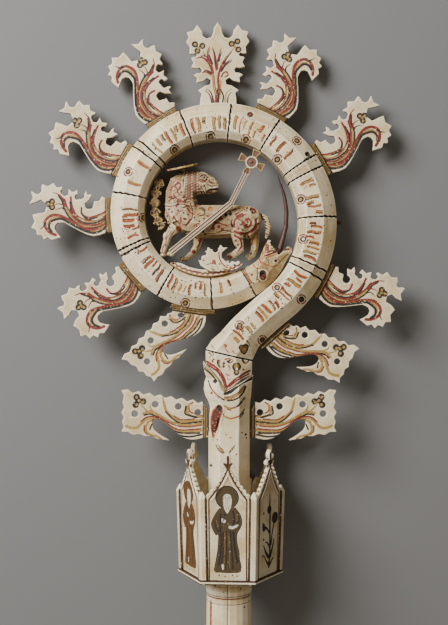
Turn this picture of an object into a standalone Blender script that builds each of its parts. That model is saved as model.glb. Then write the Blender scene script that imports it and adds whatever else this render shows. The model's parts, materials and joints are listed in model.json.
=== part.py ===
"""Crosier head of carved bone, lying on its back.

The crook is worked out in its own frame: X to the right, Y up the shaft, Z towards the viewer,
with the shaft's axis at X = Z = 0 and the mouth of the lower socket at Y = 0. At the end the whole
crook is laid on a level surface, on its own back.
"""

import math

import bmesh
import bpy
from mathutils import Matrix, Vector

# Clearance between neighbouring pieces
GAP = 0.0003

# Lower socket, a turned tube that takes the staff
SOCKET_RADIUS = 0.0163
SOCKET_TOP_RADIUS = 0.0156
SOCKET_BORE_RADIUS = 0.0120
SOCKET_BORE_DEPTH = 0.034
SOCKET_COLLAR_HEIGHT = 0.0100
SOCKET_BAND_HEIGHT = 0.0037
SOCKET_BAND_PROUD = 0.0004
SOCKET_SIDES = 20

# Knop: base plate, six gabled panels and six corner pilasters
KNOP_BOTTOM = 0.0508
KNOP_OFFSET = 0.0010
KNOP_TURN = math.radians(-3.3)
KNOP_SIDES = 6
KNOP_RADIUS = 0.0381
KNOP_TAPER = 0.95
KNOP_BASE_THICK = 0.0024
KNOP_BASE_LIP = 0.0008
SHOULDER_Y = 0.1086
GABLE_APEX_Y = 0.1275
PANEL_THICK = 0.0030
PANEL_RECESS = 0.0010
PILASTER_LEG = 0.0045
PILASTER_THICK = 0.0045
PILASTER_POINT = 0.0042
GABLE_KNOBS = 6
GABLE_KNOB_PROUD = 0.0015
FINIAL_HEIGHT = 0.0120
FINIAL_HALF_WIDTH = 0.0046
# The finial's right edge, in shares of its half width and height
FINIAL_EDGE = (
    (0.26, 0.0),
    (0.30, 0.16),
    (0.85, 0.12),
    (1.0, 0.36),
    (0.55, 0.42),
    (0.28, 0.46),
    (0.42, 0.66),
    (0.36, 0.84),
)

# Shaft with the dragon's head, and the elbow in its mouth
SHAFT_WIDTH = 0.0285
SHAFT_DEPTH = 0.0270
ELBOW_Y = 0.2032
ELBOW_HEADING = math.radians(76.9)
ELBOW_HALF_WIDTH = 0.0166
ELBOW_DEPTH = 0.0262
MOUTH_APEX = (-0.0021, 0.1785)
MOUTH_LEFT = (-0.0179, 0.1968)
MOUTH_RIGHT = (0.0167, 0.1892)
MOUTH_REACH = 2.2
DRAGON_LIP_PROUD = 0.0008

# Crook: a tube along a chain of arcs, each with its length and its turn
CROOK_START = (0.0, 0.2065)
CROOK_HEADING = math.radians(47.8)
CROOK_ARCS = ((0.0480, -9.0), (0.1400, 112.0), (0.1345, 120.0), (0.1200, 124.0))
TUBE_WIDTH = 0.0266
TUBE_END_WIDTH = 0.0217
TUBE_TAPER_FROM = 0.150
TUBE_DEPTH_SHARE = 0.95
CROOK_STEP = 0.010

# Stations along the crook's centre line where one tube piece ends and the next begins
LEG_FULL_FROM = 0.016
LEG_END = 0.0768
SPACER_STARTS = (LEG_END, 0.1468, 0.2745, 0.3438)
SPACER_LENGTHS = (0.0057, 0.0077, 0.0047, 0.0034)
PLAIN_JOINTS = (0.1155, 0.1840, 0.2140, 0.2448, 0.3090, 0.3785, 0.4118)
LAST_TUBE_LENGTH = 0.0270
CROOK_END = PLAIN_JOINTS[-1] + LAST_TUBE_LENGTH

# Leaf plates
LEAF_THICK = 0.0036
STRIP_HEIGHT = 0.0032
STRIP_DEPTH = 0.0066
LEAF_HEIGHT = 0.057
BAND_LEAF_HEIGHT = 0.0595
RING_BAND_LEAF_HEIGHT = 0.0565
BAND_LEAF_LIFT = 0.0015
TOP_LEAF_STATION = 0.2215
TOP_LEAF_FOOT = 0.026
SHAFT_LEAF_FOOT = 0.0215
SHAFT_LEAF_Y = 0.1558
HOLE_RADIUS_SHARE = 4.1
LEAN_FULL_AT = 28.0
LOST_LEAF_STATION = 0.1122
LOST_LEAF_PIN_RADIUS = 0.0012
LOST_LEAF_PIN_LENGTH = 0.0035

# Lamb and what goes with it
LAMB_DEPTH = 0.0156
LAMB_FAR_LEG_Z = -0.0040
LAMB_NEAR_LEG_Z = 0.0042
STAFF_WIDTH = 0.0043
STAFF_UPPER_WIDTH = 0.0036
STAFF_THICK = 0.0024
CROSS_DISC_RADIUS = 0.0044
CROSS_ARM_REACH = 0.0092
CROSS_ARM_NECK = 0.0016
CROSS_ARM_FLARE = 0.0031
HALO_RADIUS = 0.0114
HALO_THICK = 0.0013
GROUND_HEIGHT = 0.0046
GROUND_DEPTH = 0.0190
GROUND_LEAF_THICK = 0.0024
GROUND_STATIONS = (0.3740, 0.4300)
LAMB_BACK_Y = 0.3084
LAMB_BELLY_Y = 0.2844
NECK = ((-0.0310, 0.2975), (-0.0335, 0.3075), (-0.0338, 0.3165), (-0.0322, 0.3235), (-0.0300, 0.3280))
HEAD = (
    (-0.0350, 0.3225),
    (-0.0300, 0.3232),
    (-0.0240, 0.3236),
    (-0.0180, 0.3232),
    (-0.0130, 0.3218),
    (-0.0092, 0.3210),
    (-0.0072, 0.3208),
)
NEAR_FORE = ((-0.0370, 0.2925), (-0.0412, 0.2880), (-0.0435, 0.2828), (-0.0450, 0.2775), (-0.0462, 0.2742))
FAR_FORE = ((-0.0215, 0.2880), (-0.0223, 0.2800), (-0.0252, 0.2745), (-0.0300, 0.2710), (-0.0345, 0.2700))
NEAR_HIND = (
    (0.0098, 0.2950),
    (0.0055, 0.2870),
    (0.0068, 0.2808),
    (0.0080, 0.2765),
    (0.0035, 0.2730),
    (-0.0010, 0.2712),
)
FAR_HIND = ((0.0170, 0.2890), (0.0182, 0.2830), (0.0178, 0.2780), (0.0160, 0.2735), (0.0125, 0.2708))
NEAR_HIND_HALVES = [0.0080, 0.0050, 0.0036, 0.0030, 0.0026, 0.0022]
LAMB_EARS = ((-0.0290, 0.3290), (-0.0265, 0.3225), (-0.0262, 0.3150))
TAIL = ((0.0215, 0.3015), (0.0262, 0.2985), (0.0276, 0.2930), (0.0272, 0.2880), (0.0258, 0.2845))
STAFF_FOOT = (-0.0405, 0.2740)
STAFF_BEND = (0.0012, 0.3078)
STAFF_TOP = (0.0122, 0.3298)
CROSS_CENTRE = (0.0155, 0.3363)
HALO_CENTRE = (-0.0326, 0.3343)
HALO_TILT = math.radians(11.5)
HALO_PEG_LENGTH = 0.0021
SPRAY_STEM = ((-0.0478, 0.3262), (-0.0510, 0.3165), (-0.0520, 0.3060), (-0.0495, 0.2965), (-0.0455, 0.2920))
SPRAY_HALF_WIDTH = 0.0042
SPRAY_THICK = 0.0026

# Serpent's head
# Across the head, from the neck to the jaws: the outer edge's station along the leg and its clearance
# from it, the inner edge's place and the depth
SERPENT_SECTIONS = (
    (0.0456, 0.0005, (0.0140, 0.2650), 0.0204),
    (0.0562, 0.0006, (0.0188, 0.2682), 0.0186),
    (0.0672, 0.0012, (0.0216, 0.2710), 0.0170),
    (0.0788, 0.0019, (0.0232, 0.2752), 0.0144),
    (0.0866, 0.0008, (0.0250, 0.2794), 0.0112),
    (0.0894, 0.0018, (0.0274, 0.2836), 0.0072),
)
SERPENT_GAPE_BASE = (0.0345, 0.2725)
SERPENT_EARS = ((0.0262, 0.2622), (0.0232, 0.2570), (0.0212, 0.2505))
TONGUE_BOW = (
    (0.0378, 0.2850),
    (0.0398, 0.2930),
    (0.0403, 0.3035),
    (0.0388, 0.3142),
    (0.0363, 0.3221),
    (0.0340, 0.3287),
)
PEG_STATION = 0.0535
PEG_LENGTH = 0.0060
PEG_RADIUS = 0.0017

# A face of the hull counts as the back below this Z of its normal
BACK_FACING = -0.9

BONE = ("bone", (0.72, 0.66, 0.52, 1.0), 0.42)
DARK_BONE = ("bone_in_shade", (0.60, 0.52, 0.38, 1.0), 0.5)
GILT_BONE = ("gilt_bone", (0.50, 0.36, 0.13, 1.0), 0.4)
RED_BONE = ("red_bone", (0.20, 0.05, 0.03, 1.0), 0.5)


# Scene, materials and objects


def clear_scene():
    for thing in list(bpy.data.objects):
        bpy.data.objects.remove(thing)


def collection(name):
    made = bpy.data.collections.new(name)
    bpy.context.scene.collection.children.link(made)
    return made


def material(look):
    name, colour, roughness = look
    made = bpy.data.materials.get(name)
    if made is None:
        made = bpy.data.materials.new(name)
        made.use_nodes = True
        shader = made.node_tree.nodes["Principled BSDF"]
        shader.inputs["Base Color"].default_value = colour
        shader.inputs["Roughness"].default_value = roughness
        shader.inputs["Metallic"].default_value = 0.0
    return made


def add_piece(name, shape, look=BONE):
    """A named object of the crosier from a bmesh, which is used up."""
    mesh = bpy.data.meshes.new(name)
    bmesh.ops.recalc_face_normals(shape, faces=shape.faces)
    shape.to_mesh(mesh)
    shape.free()
    thing = bpy.data.objects.new(name, mesh)
    mesh.materials.append(material(look))
    parts.objects.link(thing)
    thing.parent = crook
    return thing


def as_cutter(thing):
    """Turn a piece into a helper of another piece."""
    parts.objects.unlink(thing)
    cutters.objects.link(thing)
    thing.hide_render = True
    thing.display_type = "WIRE"
    return thing


def add_cutter(name, shape):
    return as_cutter(add_piece(name, shape))


def boolean(thing, other, operation):
    change = thing.modifiers.new(other.name, "BOOLEAN")
    change.operation = operation
    change.solver = "EXACT"
    change.object = other


# Shapes


def loft(rings):
    """A closed body through rings of as many points each, capped at both ends."""
    shape = bmesh.new()
    rows = [[shape.verts.new(point) for point in ring] for ring in rings]
    count = len(rings[0])
    for low, high in zip(rows, rows[1:]):
        for i in range(count):
            j = (i + 1) % count
            shape.faces.new((low[i], low[j], high[j], high[i]))
    shape.faces.new(rows[0][::-1])
    shape.faces.new(rows[-1])
    return shape


def ellipse(centre, across, along, sides):
    """A ring of points about a centre, with the two given half-axes as vectors."""
    return [
        centre + across * math.cos(a) + along * math.sin(a)
        for a in (math.tau * i / sides for i in range(sides))
    ]


def limb(points, widths, depth_share, sides=7):
    """A tapering round form in the crook's plane, through points (x, y, z) with the given half-widths."""
    spots = [Vector(p) for p in points]
    rings = []
    for i, spot in enumerate(spots):
        way = (spots[min(i + 1, len(spots) - 1)] - spots[max(i - 1, 0)]).normalized()
        across = Vector((way.y, -way.x, 0)).normalized()
        rings.append(ellipse(spot, across * widths[i], Vector((0, 0, widths[i] * depth_share)), sides))
    return loft(rings)


def tapered(points, halves, z, depth_share=0.9, sides=7):
    return limb([(x, y, z) for x, y in points], halves, depth_share, sides)


def outline_plate(name, outlines, thick, look=BONE, z=0.0):
    """A flat plate between closed outlines in the crook's plane, the later ones being holes."""
    curve = bpy.data.curves.new(name, "CURVE")
    curve.dimensions = "2D"
    curve.fill_mode = "BOTH"
    curve.extrude = thick / 2
    for outline in outlines:
        line = curve.splines.new("POLY")
        line.points.add(len(outline) - 1)
        for spot, (x, y) in zip(line.points, outline):
            spot.co = (x, y, 0, 1)
        line.use_cyclic_u = True
    guide = bpy.data.objects.new(name + "_outline", curve)
    cutters.objects.link(guide)
    graph = bpy.context.evaluated_depsgraph_get()
    mesh = bpy.data.meshes.new_from_object(guide.evaluated_get(graph))
    bpy.data.objects.remove(guide)
    shape = bmesh.new()
    shape.from_mesh(mesh)
    bmesh.ops.remove_doubles(shape, verts=shape.verts, dist=1e-6)
    bmesh.ops.translate(shape, verts=shape.verts, vec=(0, 0, z))
    return add_piece(name, shape, look)


def smooth(points, steps):
    """Points of a smooth curve through the given ones."""
    spots = [Vector(p) for p in points]
    spots = [spots[0] * 2 - spots[1], *spots, spots[-1] * 2 - spots[-2]]
    made = []
    for a, b, c, d in zip(spots, spots[1:], spots[2:], spots[3:]):
        for i in range(steps):
            u = i / steps
            made.append(
                b
                + (c - a) * (u / 2)
                + (a * 2 - b * 5 + c * 4 - d) * (u * u / 2)
                + (b * 3 - a - c * 3 + d) * (u**3 / 2)
            )
    return [*made, spots[-2]]


# The crook's centre line and tube


def crook_at(station):
    """(point, heading) of the centre line at a length along it."""
    x, y = CROOK_START
    heading = CROOK_HEADING
    for length, turn in CROOK_ARCS:
        bend = math.radians(turn) / length
        here = min(station, length)
        x += (math.sin(heading + bend * here) - math.sin(heading)) / bend
        y -= (math.cos(heading + bend * here) - math.cos(heading)) / bend
        heading += bend * here
        station -= here
        if station <= 0:
            break
    return Vector((x, y, 0)), heading


def outward(heading):
    return Vector((math.sin(heading), -math.cos(heading), 0))


def tube_width(station):
    share = max(0.0, (station - TUBE_TAPER_FROM) / (CROOK_END - TUBE_TAPER_FROM))
    return TUBE_WIDTH + (TUBE_END_WIDTH - TUBE_WIDTH) * share


def tube_ring(centre, out, half_width, half_depth):
    """The eight-sided section: a broad bevel outside, a flat front and back, and a narrow bevel inside."""
    corners = ((1, 0.40), (0.26, 1), (-0.62, 1), (-1, 0.62))
    half = [centre + out * (half_width * r) + Vector((0, 0, half_depth * z)) for r, z in corners]
    back = [centre + out * (half_width * r) - Vector((0, 0, half_depth * z)) for r, z in corners]
    return half + back[::-1]


def crook_ring(station):
    centre, heading = crook_at(station)
    half = tube_width(station) / 2
    return tube_ring(centre, outward(heading), half, half * TUBE_DEPTH_SHARE)


def crook_piece(name, start, end, look=BONE):
    start += GAP / 2
    end -= GAP / 2
    steps = max(1, round((end - start) / CROOK_STEP))
    rings = [crook_ring(start + (end - start) * i / steps) for i in range(steps + 1)]
    return add_piece(name, loft(rings), look)


def elbow_ring(shift):
    """The mitred section where the elbow meets the leg, moved along its heading."""
    out = outward(ELBOW_HEADING)
    way = Vector((math.cos(ELBOW_HEADING), math.sin(ELBOW_HEADING), 0))
    centre = Vector((0, ELBOW_Y, 0)) + way * shift
    return tube_ring(centre, out, ELBOW_HALF_WIDTH, ELBOW_DEPTH / 2)


def build_crook():
    leg = [elbow_ring(GAP / 2)]
    steps = 6
    for i in range(steps + 1):
        leg.append(crook_ring(LEG_FULL_FROM + (LEG_END - GAP / 2 - LEG_FULL_FROM) * i / steps))
    add_piece("leg_tube", loft(leg))
    spacers = list(zip(SPACER_STARTS, SPACER_LENGTHS))
    for number, (start, length) in enumerate(spacers, 1):
        crook_piece(f"spacer_ring_{number}", start, start + length, DARK_BONE)
    stops = sorted([*PLAIN_JOINTS, *SPACER_STARTS[1:], CROOK_END])
    start = spacers[0][0] + spacers[0][1]
    lengths = dict(spacers)
    for number, stop in enumerate(stops, 1):
        crook_piece(f"ring_tube_{number:02d}", start, stop)
        start = stop + lengths.get(stop, 0.0)


# Socket and knop


def build_socket():
    top = KNOP_BOTTOM - GAP
    band_top = top - SOCKET_COLLAR_HEIGHT
    band_bottom = band_top - SOCKET_BAND_HEIGHT
    band = SOCKET_TOP_RADIUS + SOCKET_BAND_PROUD
    neck = SOCKET_TOP_RADIUS - 2 * SOCKET_BAND_PROUD
    outer = (
        (neck, top),
        (neck, band_top + SOCKET_BAND_HEIGHT),
        (band, band_top),
        (band, band_bottom),
        (SOCKET_TOP_RADIUS, band_bottom - SOCKET_BAND_PROUD),
        (SOCKET_RADIUS, 0.0),
    )
    inner = ((SOCKET_BORE_RADIUS, 0.0), (SOCKET_BORE_RADIUS, SOCKET_BORE_DEPTH))
    rings = [
        ellipse(Vector((0, y, 0)), Vector((r, 0, 0)), Vector((0, 0, r)), SOCKET_SIDES)
        for r, y in (*outer, *inner)
    ]
    add_piece("lower_socket", loft(rings))


def knop_scale(y):
    """How wide the knop is at a height, as a share of its width at the shoulders."""
    share = (y - KNOP_BOTTOM) / (SHOULDER_Y - KNOP_BOTTOM)
    return KNOP_TAPER + (1 - KNOP_TAPER) * share


def knop_frame(angle):
    """From a face's own frame (X across, Y up, Z out) to the crook's frame."""
    turn = Matrix.Rotation(angle + KNOP_TURN, 4, "Y")
    return Matrix.Translation((KNOP_OFFSET, 0, 0)) @ turn


def gable_outline():
    """One panel's outline, flat, with the knobs along its gable and the finial on top."""
    low = KNOP_BOTTOM + KNOP_BASE_THICK + GAP
    side = 2 * KNOP_RADIUS * math.sin(math.pi / KNOP_SIDES)
    half = side / 2 - PILASTER_LEG - GAP
    half_low = half - side / 2 * (1 - knop_scale(low))
    right = [(half_low, low), (half, SHOULDER_Y)]
    slope = Vector((-half, GABLE_APEX_Y - SHOULDER_Y))
    way = slope.normalized()
    out = Vector((way.y, -way.x))
    start = Vector((half, SHOULDER_Y))
    length = slope.length - FINIAL_HALF_WIDTH / 2
    pitch = length / GABLE_KNOBS
    for i in range(GABLE_KNOBS):
        foot = start + way * (pitch * (i + 0.08))
        for along, proud in ((0.08, 0.3), (0.32, 1.0), (0.70, 0.95)):
            right.append(tuple(foot + way * (pitch * along) + out * (GABLE_KNOB_PROUD * proud)))
    for across, up in FINIAL_EDGE:
        right.append((FINIAL_HALF_WIDTH * across, GABLE_APEX_Y + FINIAL_HEIGHT * up))
    left = [(-x, y) for x, y in reversed(right)]
    return [*right, (0.0, GABLE_APEX_Y + FINIAL_HEIGHT), *left]


def build_knop_panel(name, angle):
    panel = outline_plate(name, [gable_outline()], PANEL_THICK)
    apothem = KNOP_RADIUS * math.cos(math.pi / KNOP_SIDES)
    lean = apothem * (1 - KNOP_TAPER) / (SHOULDER_Y - KNOP_BOTTOM)
    shift = Matrix.Translation((0, 0, apothem - PANEL_RECESS - PANEL_THICK / 2))
    shear = Matrix.Identity(4)
    shear[2][1] = lean
    shear[2][3] = -lean * SHOULDER_Y
    panel.data.transform(knop_frame(angle) @ shift @ shear)


def pilaster_ring(y, shrink):
    """The kite-shaped section of a corner pilaster, its ridge outwards along Z."""
    radius = KNOP_RADIUS * knop_scale(y)
    slant = math.pi / KNOP_SIDES
    leg = Vector((math.cos(slant), -math.sin(slant))) * PILASTER_LEG
    inward = Vector((-math.sin(slant), -math.cos(slant))) * (PILASTER_THICK - PANEL_RECESS)
    ridge = Vector((0, radius))
    flat = [
        ridge,
        ridge + leg,
        ridge + leg + inward,
        ridge + Vector((-leg.x - inward.x, leg.y + inward.y)),
        ridge + Vector((-leg.x, leg.y)),
    ]
    middle = sum(flat, Vector((0, 0))) / len(flat)
    flat = [middle + (point - middle) * shrink for point in flat]
    return [Vector((point.x, y, point.y)) for point in flat]


def build_pilaster(name, angle):
    low = KNOP_BOTTOM + KNOP_BASE_THICK + GAP
    rings = [
        pilaster_ring(low, 1.0),
        pilaster_ring(SHOULDER_Y, 1.0),
        pilaster_ring(SHOULDER_Y + PILASTER_POINT, 0.2),
    ]
    shape = loft(rings)
    bmesh.ops.transform(shape, matrix=knop_frame(angle), verts=shape.verts)
    add_piece(name, shape)


def build_knop():
    base = []
    for y in (KNOP_BOTTOM, KNOP_BOTTOM + KNOP_BASE_THICK):
        radius = KNOP_RADIUS * knop_scale(y) + KNOP_BASE_LIP
        corner = Vector((0, 0, radius)), Vector((radius, 0, 0))
        base.append(ellipse(Vector((0, y, 0)), *corner, KNOP_SIDES))
    shape = loft(base)
    half_step = math.pi / KNOP_SIDES
    bmesh.ops.transform(shape, matrix=knop_frame(half_step), verts=shape.verts)
    add_piece("knop_base", shape)
    for i in range(KNOP_SIDES):
        angle = math.tau * i / KNOP_SIDES
        build_knop_panel(f"knop_panel_{i + 1}", angle)
        build_pilaster(f"knop_pilaster_{i + 1}", angle + half_step)


# Shaft with the dragon's head, and the elbow


def shaft_ring(y, left, right, depth):
    """An eight-sided section of the shaft between its left and right edges."""
    centre = Vector(((left + right) / 2, y, 0))
    half = (right - left) / 2
    corners = ((1, 0.42), (0.46, 1), (-0.46, 1), (-1, 0.42))
    front = [centre + Vector((half * r, 0, depth / 2 * z)) for r, z in corners]
    back = [centre + Vector((half * r, 0, -depth / 2 * z)) for r, z in corners]
    return front + back[::-1]


def mouth_prism(name, lift):
    """The wedge-shaped space between the dragon's lips, moved up by a clearance."""
    apex, left, right = (Vector((*p, 0)) for p in (MOUTH_APEX, MOUTH_LEFT, MOUTH_RIGHT))
    upper_left = apex + (left - apex) * MOUTH_REACH
    upper_right = apex + (right - apex) * MOUTH_REACH
    top = Vector((0, ELBOW_Y + 0.04, 0))
    bow_left = apex.lerp(left, 0.5) + Vector((0.0012, 0.0014, 0))
    corners = [Vector((upper_right.x, top.y, 0)), Vector((upper_left.x, top.y, 0))]
    flat = [apex, upper_right, *corners, upper_left, bow_left]
    up = Vector((0, lift, SHAFT_DEPTH))
    down = Vector((0, lift, -SHAFT_DEPTH))
    return add_cutter(name, loft([[p + down for p in flat], [p + up for p in flat]]))


def build_shaft():
    half = SHAFT_WIDTH / 2
    low = KNOP_BOTTOM + KNOP_BASE_THICK + GAP
    # Height, left edge, right edge and depth, up the throat, the jaw, the brow and the lips
    profile = (
        (low, -half, half, SHAFT_DEPTH),
        (0.1480, -half, half, SHAFT_DEPTH),
        (0.1545, -0.0134, half, 0.0262),
        (0.1675, -0.0132, half, 0.0262),
        (0.1712, -0.0144, 0.0147, 0.0272),
        (0.1745, -0.0162, 0.0153, 0.0284),
        (0.1793, -0.0175, 0.0156, 0.0290),
        (0.1840, -0.0172, 0.0160, 0.0288),
        (0.1880, -0.0158, 0.0166, 0.0282),
        (0.1915, -0.0170, 0.0172, 0.0284),
        (0.1990, -0.0182, 0.0170, 0.0284),
    )
    shaft = add_piece("dragon_shaft", loft([shaft_ring(*row) for row in profile]))
    boolean(shaft, mouth_prism("mouth_space", 0.0), "DIFFERENCE")
    ear = limb(
        [(-0.0110, 0.1460, 0.0), (-0.0095, 0.1530, 0.0), (-0.0078, 0.1600, 0.0), (-0.0066, 0.1645, 0.0)],
        [0.0012, 0.0034, 0.0036, 0.0014],
        4.0,
        8,
    )
    boolean(shaft, add_cutter("dragon_ears", ear), "UNION")


def build_elbow():
    out = ELBOW_HALF_WIDTH - DRAGON_LIP_PROUD
    low = MOUTH_APEX[1] - 0.002
    rings = [
        shaft_ring(low, -out, out, ELBOW_DEPTH - 2 * DRAGON_LIP_PROUD),
        shaft_ring(MOUTH_RIGHT[1], -out - 0.0002, out, ELBOW_DEPTH - DRAGON_LIP_PROUD),
        elbow_ring(-GAP / 2),
    ]
    elbow = add_piece("elbow", loft(rings))
    boolean(elbow, mouth_prism("elbow_space", 2 * GAP), "INTERSECT")


# Leaf plates


def scalloped(tips, depth):
    """The tips of a row of teeth with a notch between each pair, on the left of their run."""
    spots = [Vector(tip) for tip in tips]
    made = [spots[0]]
    for a, b in zip(spots, spots[1:]):
        way = (b - a).normalized()
        made.append((a + b) / 2 + Vector((-way.y, way.x)) * depth)
        made.append(b)
    return made


def bite(before, centre, radius, after, steps=5):
    """A round bite into the edge between two tips."""
    centre = Vector(centre)
    start = Vector(before) - centre
    end = Vector(after) - centre
    first = math.atan2(start.y, start.x) - 0.35
    last = math.atan2(end.y, end.x) + 0.35
    while last > first:
        last -= math.tau
    turns = [first + (last - first) * i / (steps - 1) for i in range(steps)]
    return [centre + Vector((math.cos(a), math.sin(a))) * radius for a in turns]


def circle(centre, radius, sides=8):
    return [
        Vector(centre) + Vector((math.cos(a), math.sin(a))) * radius
        for a in (-math.tau * i / sides for i in range(sides))
    ]


def lobed(lobes, bites, depth):
    """The edge of a leaf: rows of teeth with a round bite between each two rows."""
    edge = scalloped(lobes[0], depth)
    for before, row, (centre, radius) in zip(lobes, lobes[1:], bites):
        edge += bite(before[-1], centre, radius, row[0])
        edge += scalloped(row, depth)
    return edge


def curled_leaf(bite_share):
    """A lobed leaf with a smooth back and a head that curls over it, in hundredths of its height."""
    lobes = (
        ((23, 11), (17, 21)),
        ((25.5, 22.5), (30, 30.5)),
        ((31, 40.5), (32.5, 52)),
        ((35, 59), (40, 70), (38.5, 84)),
        ((30, 98), (14, 100)),
        ((1, 96.5), (-15, 98), (-24.5, 91), (-30, 82.5), (-30.5, 73)),
    )
    bites = (((12.5, 26.5), 6), ((24, 36.5), 4.8), ((28, 56), 4.8), ((31.5, 90), 5.5), ((10.5, 87), 9))
    shrunk = [(centre, radius * bite_share) for centre, radius in bites]
    edge = lobed(lobes, shrunk, 3.5)
    curl = ((-27, 61.5), (-17, 69), (-9.5, 66), (-9.0, 57))
    back = ((-9.0, 57), (-19.5, 38.5), (-26, 22), (-22, 7))
    return edge + smooth(curl, 2)[:-1] + smooth(back, 2), []


def palmette():
    """The upright leaf of the top, the same on both sides, in hundredths of its height."""
    lobes = (
        ((22, 7), (25, 16.5)),
        ((27, 26), (30.5, 35.5)),
        ((33, 45), (33, 56.5)),
        ((35, 61.5), (39, 76), (38, 88), (25, 97)),
    )
    bites = (((13.5, 27), 5), ((23.5, 41), 3.8), ((28, 60), 2.5))
    right = lobed(lobes, bites, 3.0) + bite((25, 97), (12.5, 87), 7, (4, 90))
    right.append(Vector((4.6, 93)))
    return [*right, Vector((0, 100)), *(Vector((-p.x, p.y)) for p in reversed(right))], []


def banded_leaf():
    """A leaf with a straight toothed margin, a slot above its curl and a row of holes."""
    margin = [Vector((25, 3)).lerp(Vector((39, 92)), i / 7) for i in range(8)]
    end = ((38, 100), (24, 98.5), (12, 100), (1, 99), (-11, 100))
    lower = ((-11, 100), (-14.5, 86), (-16, 72), (-19, 58))
    edge = scalloped(margin, 3.2) + scalloped(end, 2.5) + scalloped(lower, 2.0)[1:]
    slot = ((-21, 43), (-13, 56), (-6, 62.5), (2.5, 63), (4, 56), (1, 50))
    back = ((1, 50), (-9, 38), (-18, 26), (-20, 14), (-17.5, 3))
    edge += smooth(slot, 2)[:-1] + smooth(back, 2)
    holes = [circle(centre, HOLE_RADIUS_SHARE) for centre in ((12, 10), (19, 33), (21.5, 60), (10.5, 84))]
    return edge, holes


def build_leaf(name, pattern, height, seat, mirror, lean, lift, foot, strip=True):
    """A leaf plate with its moulded foot strip. seat(t, r) is the point at t along the tube and r off it."""
    edge, holes = pattern
    origin = seat(0, lift)
    up = (seat(0, lift + 0.01) - origin).normalized()
    along = Vector((-up.y, up.x, 0)) * (-1 if mirror else 1)

    def place(point):
        """A point of the pattern, swung over by the lean, which grows from nothing at the foot."""
        swing = math.radians(lean) * min(1.0, max(0.0, point.y / LEAN_FULL_AT))
        t, n = point.x * height / 100, point.y * height / 100
        t, n = t * math.cos(swing) + n * math.sin(swing), n * math.cos(swing) - t * math.sin(swing)
        spot = origin + along * t + up * n
        return spot.x, spot.y

    side = -1 if (seat(0.001, 0) - seat(0, 0)).dot(along) < 0 else 1
    ends = [-foot * 0.40, -foot * 0.14, foot * 0.14, foot * 0.42]
    ground = [tuple(seat(side * t, GAP + (STRIP_HEIGHT / 2 if strip else 0.0)).to_2d()) for t in ends]
    outlines = [[*map(place, edge), *ground], *(list(map(place, hole)) for hole in holes)]
    plate = outline_plate(name, outlines, LEAF_THICK)
    if not strip:
        return
    rings = []
    steps = 4
    for i in range(steps + 1):
        t = foot * (i / steps - 0.5)
        low = seat(t, GAP)
        high = seat(t, GAP + STRIP_HEIGHT)
        z = Vector((0, 0, STRIP_DEPTH / 2))
        rings.append([low + z, high + z * 0.8, high - z * 0.8, low - z])
    boolean(plate, add_cutter(name + "_strip", loft(rings)), "UNION")


def crook_seat(station):
    def seat(t, r):
        centre, heading = crook_at(station + t)
        return centre + outward(heading) * (tube_width(station + t) / 2 + r)

    return seat


def shaft_seat(side):
    def seat(t, r):
        return Vector((side * (SHAFT_WIDTH / 2 + r), SHAFT_LEAF_Y + side * t, 0))

    return seat


def build_leaves():
    banded = banded_leaf()
    lobed_leaf = curled_leaf(1.0)
    narrow = curled_leaf(0.72)
    for name, side in (("leaf_shaft_left", -1), ("leaf_shaft_right", 1)):
        seat = shaft_seat(side)
        build_leaf(name, banded, BAND_LEAF_HEIGHT, seat, side < 0, 0, BAND_LEAF_LIFT, SHAFT_LEAF_FOOT)
    # Name, pattern, height, station, mirrored, lean in degrees, lift and foot length
    rows = (
        ("leaf_leg_lower", banded, RING_BAND_LEAF_HEIGHT, 0.0305, False, 18, BAND_LEAF_LIFT, 0.028),
        ("leaf_leg_upper", narrow, LEAF_HEIGHT, 0.0772, False, 5, 0.0, 0.022),
        ("leaf_right_top", lobed_leaf, LEAF_HEIGHT, 0.1508, False, 3, 0.0, 0.021),
        ("leaf_top_right", lobed_leaf, LEAF_HEIGHT, 0.1905, False, 0, 0.0, 0.019),
        ("leaf_top_left", lobed_leaf, LEAF_HEIGHT, 0.2555, True, 0, 0.0, 0.019),
        ("leaf_left_top", lobed_leaf, LEAF_HEIGHT, 0.2892, True, 0, 0.0, 0.021),
        ("leaf_left", lobed_leaf, LEAF_HEIGHT, 0.3222, True, 0, 0.0, 0.020),
        ("leaf_left_low", narrow, LEAF_HEIGHT, 0.3605, True, 0, 0.0, 0.020),
        ("leaf_bottom_left", banded, RING_BAND_LEAF_HEIGHT, 0.4005, True, 26, BAND_LEAF_LIFT, 0.025),
    )
    for name, pattern, height, station, mirror, lean, lift, foot in rows:
        build_leaf(name, pattern, height, crook_seat(station), mirror, lean, lift, foot)
    seat = crook_seat(TOP_LEAF_STATION)
    build_leaf("leaf_top", palmette(), LEAF_HEIGHT, seat, False, 0, 0.0, TOP_LEAF_FOOT, strip=False)
    centre, heading = crook_at(LOST_LEAF_STATION)
    start = centre + outward(heading) * (tube_width(LOST_LEAF_STATION) / 2 + GAP)
    pin = [start, start + outward(heading) * LOST_LEAF_PIN_LENGTH]
    add_piece("lost_leaf_pin", limb(pin, [LOST_LEAF_PIN_RADIUS] * 2, 1.0, 8), RED_BONE)


# Serpent's head, tongue and peg


def beside_leg(station, clearance):
    """A point inside the crook's curve, at a clearance from the tube's inner edge."""
    centre, heading = crook_at(station)
    return centre - outward(heading) * (tube_width(station) / 2 + clearance)


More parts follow.
